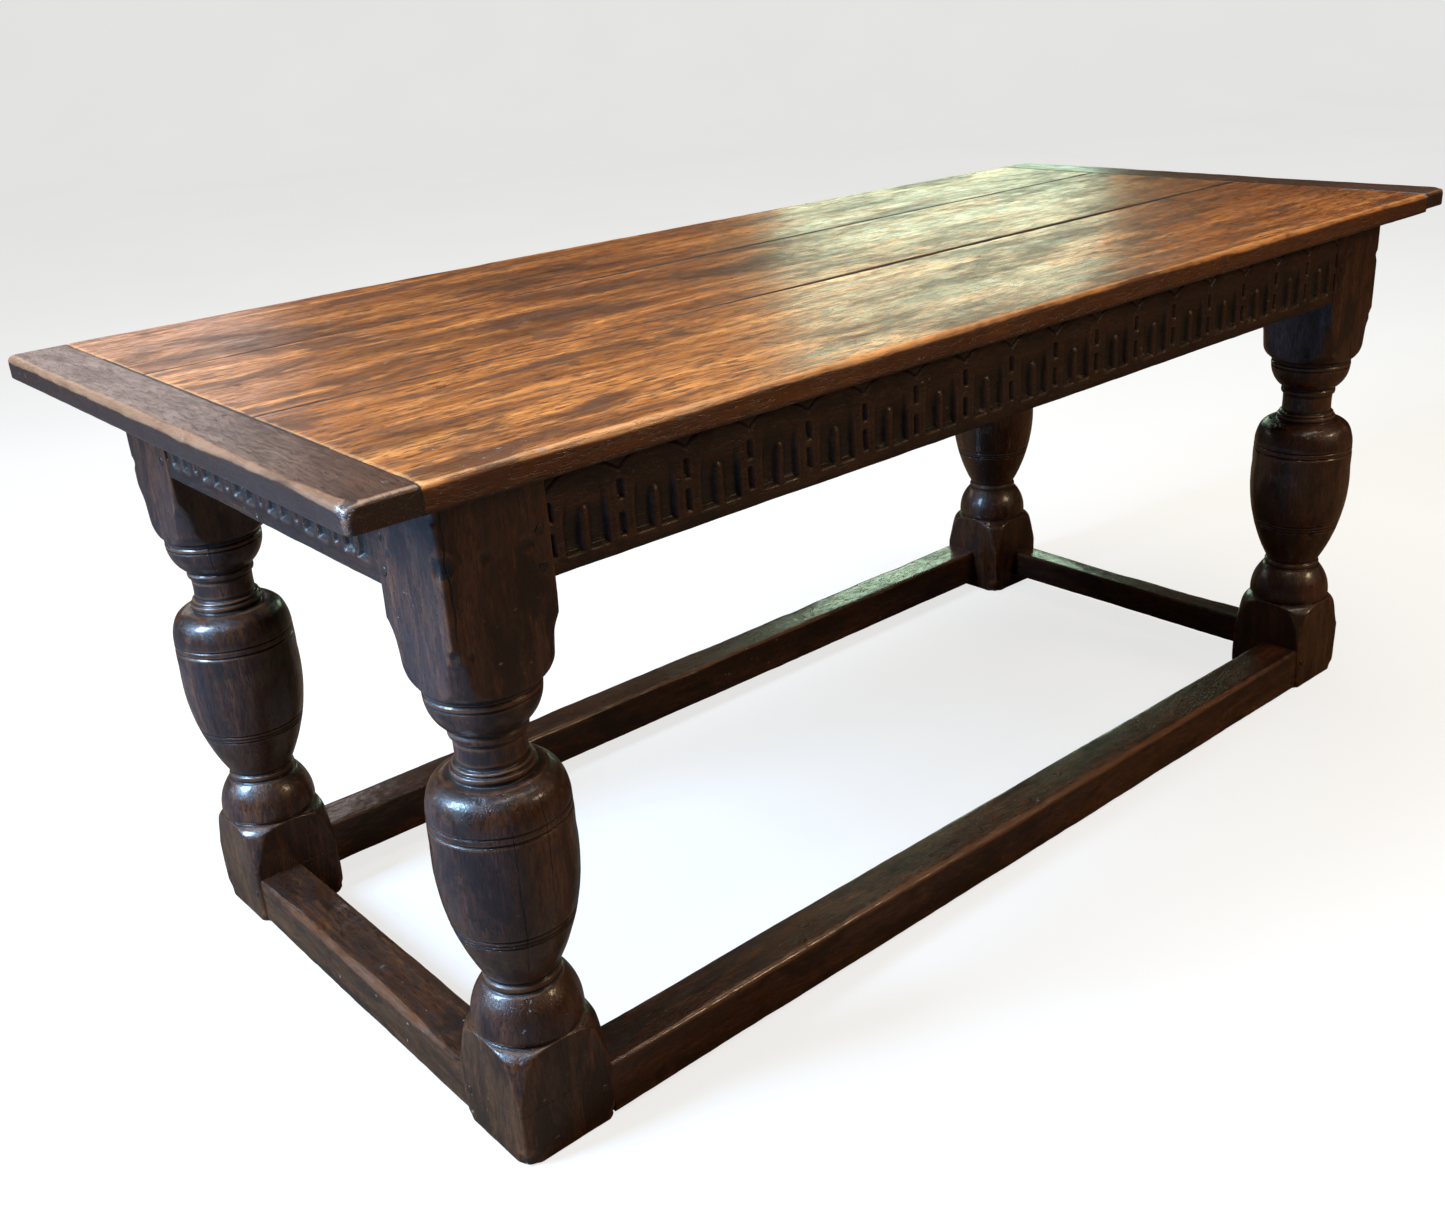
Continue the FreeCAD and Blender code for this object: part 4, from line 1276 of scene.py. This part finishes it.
def build_pegs():
    looks = {"cleat_pegs": "cleat", "top_pegs": "top_peg", "frieze_pegs": "peg", "stretcher_pegs": "peg"}
    for seed, (node, look) in enumerate(looks.items(), PEG_SEED):
        grain = "Z" if node in ("cleat_pegs", "top_pegs") else "Y"
        dress(make_pegs(node, seed), aged_oak(node + "_wood", look, grain, seed))


# ---------------------------------------------------------------- stage

FLOOR_BOUNCE = (0.135, 0.088, 0.054, 1)  # what the floor sends back on to the table
COOL_BOUNCE = (0.098, 0.112, 0.138, 1)  # the same beside the left end, under the window
COOL_EDGE = (-0.8, -1.2)  # where along X the cool light takes over
FLOOR_TONES = ((0.86, 0.86, 0.85, 1), (0.90, 0.90, 0.89, 1))
FLOOR_GLOW = 1.18  # the camera sees the floor partly glowing, so that it stays pale
FLOOR_GLOW_SHARE = 0.72
FLOOR_REACH = 9.0
FLOOR_SWEEP = 3.0
FLOOR_HALF_WIDTH = 16.0
FLOOR_NEAR_END = -14.0
FLOOR_TOP = 12.0
SWEEP_STEPS = 24


def floor_material():
    kit = Nodes("pale_floor")
    place = kit.add("ShaderNodeTexCoord").outputs["Object"]
    colour = kit.blend(kit.noise(place, 1.3, 4.0), *FLOOR_TONES)
    seen = kit.add("ShaderNodeLightPath").outputs["Is Camera Ray"]
    along = kit.add("ShaderNodeSeparateXYZ", {0: place}).outputs["X"]
    bounce = kit.blend(kit.between(along, *COOL_EDGE), FLOOR_BOUNCE, COOL_BOUNCE)
    matt = kit.add("ShaderNodeBsdfDiffuse", {"Color": kit.blend(seen, bounce, colour)}).outputs[0]
    glow = kit.add("ShaderNodeEmission", {"Color": colour, "Strength": FLOOR_GLOW}).outputs[0]
    mixed = kit.add("ShaderNodeMixShader", {0: kit.times(seen, FLOOR_GLOW_SHARE), 1: matt, 2: glow})
    kit.add("ShaderNodeOutputMaterial", {"Surface": mixed.outputs[0]})
    return kit.material


def make_floor():
    """A pale sweep: flat under the table and curving up far behind it."""
    outline = [(FLOOR_NEAR_END, 0.0), (0.0, 0.0)]
    for turn in np.linspace(0, math.pi / 2, SWEEP_STEPS):
        outline.append((FLOOR_REACH + FLOOR_SWEEP * math.sin(turn), FLOOR_SWEEP * (1 - math.cos(turn))))
    outline.append((FLOOR_REACH + FLOOR_SWEEP, FLOOR_TOP))
    ahead = Vector((math.sin(CAMERA_YAW), math.cos(CAMERA_YAW), 0))
    across = Vector((math.cos(CAMERA_YAW), -math.sin(CAMERA_YAW), 0))
    points = []
    for run, rise in outline:
        for side in (-FLOOR_HALF_WIDTH, FLOOR_HALF_WIDTH):
            points.append(ahead * run + across * side + Vector((0, 0, rise)))
    faces = [(k, k + 1, k + 3, k + 2) for k in range(0, 2 * len(outline) - 2, 2)]
    floor = linked("floor", smooth_mesh("floor", points, faces))
    dress(floor, floor_material())


CAMERA_PLACE = Vector((-1.4137, -1.4758, 1.1563))
CAMERA_YAW = 0.6876
CAMERA_PITCH = -0.4086
CAMERA_ROLL = 0.0674
LENS = 36.885


def make_camera():
    ahead = Vector((
        math.cos(CAMERA_PITCH) * math.sin(CAMERA_YAW),
        math.cos(CAMERA_PITCH) * math.cos(CAMERA_YAW), math.sin(CAMERA_PITCH),
    ))
    right = ahead.cross(Vector((0, 0, 1))).normalized()
    down = ahead.cross(right)
    c, s = math.cos(CAMERA_ROLL), math.sin(CAMERA_ROLL)
    turned = Matrix((right * c + down * s, right * s - down * c, -ahead)).transposed()
    data = bpy.data.cameras.new("camera")
    data.lens = LENS
    data.sensor_width = 36.0
    data.sensor_fit = "HORIZONTAL"
    data.clip_end = 100
    camera = linked("camera", data)
    camera.matrix_world = Matrix.Translation(CAMERA_PLACE) @ turned.to_4x4()
    bpy.context.scene.camera = camera


def softbox(name, place, target, size, watts, colour):
    """A soft rectangular light that the camera doesn't see."""
    data = bpy.data.lights.new(name, "AREA")
    data.shape = "RECTANGLE"
    data.size, data.size_y = size
    data.energy = watts
    data.color = colour
    light = linked(name, data)
    light.location = place
    way = Vector(target) - Vector(place)
    light.rotation_euler = way.to_track_quat("-Z", "Y").to_euler()
    light.visible_camera = False


ROOM_GLOW = (0.050, 0.037, 0.027, 1)  # dim warm light from all round
BACKDROP = (0.76, 0.76, 0.76, 1)  # what the camera sees beyond the floor


def make_world():
    world = bpy.data.worlds.new("studio")
    bpy.context.scene.world = world
    world.use_nodes = True
    tree = world.node_tree
    path = tree.nodes.new("ShaderNodeLightPath")
    choice = tree.nodes.new("ShaderNodeMix")
    choice.data_type = "RGBA"
    choice.inputs[6].default_value = ROOM_GLOW
    choice.inputs[7].default_value = BACKDROP
    tree.links.new(path.outputs["Is Camera Ray"], choice.inputs["Factor"])
    tree.links.new(choice.outputs[2], tree.nodes["Background"].inputs["Color"])


def make_lights():
    softbox("far_window", (3.3, 2.7, 1.42), (0.35, 0.1, 0.79), (1.3, 0.8), 13, (0.70, 1.0, 0.72))
    softbox("back_window", (-0.2, 3.2, 1.55), (-0.8, 0.1, 0.79), (1.5, 0.7), 6, (1.0, 0.90, 0.88))
    softbox("left_window", (-2.9, 0.5, 2.1), (-0.5, 0, 0.5), (0.9, 1.2), 295, (0.41, 0.65, 0.98))
    softbox("room_lamp", (1.6, -3.0, 2.2), (0.2, 0, 0.5), (0.9, 0.7), 30, (1.0, 0.72, 0.44))
    softbox("ceiling", (0.0, 0.0, 4.2), (0, 0, 0), (4.0, 3.5), 185, (1.0, 0.87, 0.72))


build_frame()
build_top()
build_pegs()
make_camera()
make_floor()
make_world()
make_lights()
bpy.context.scene.view_settings.view_transform = "Standard"
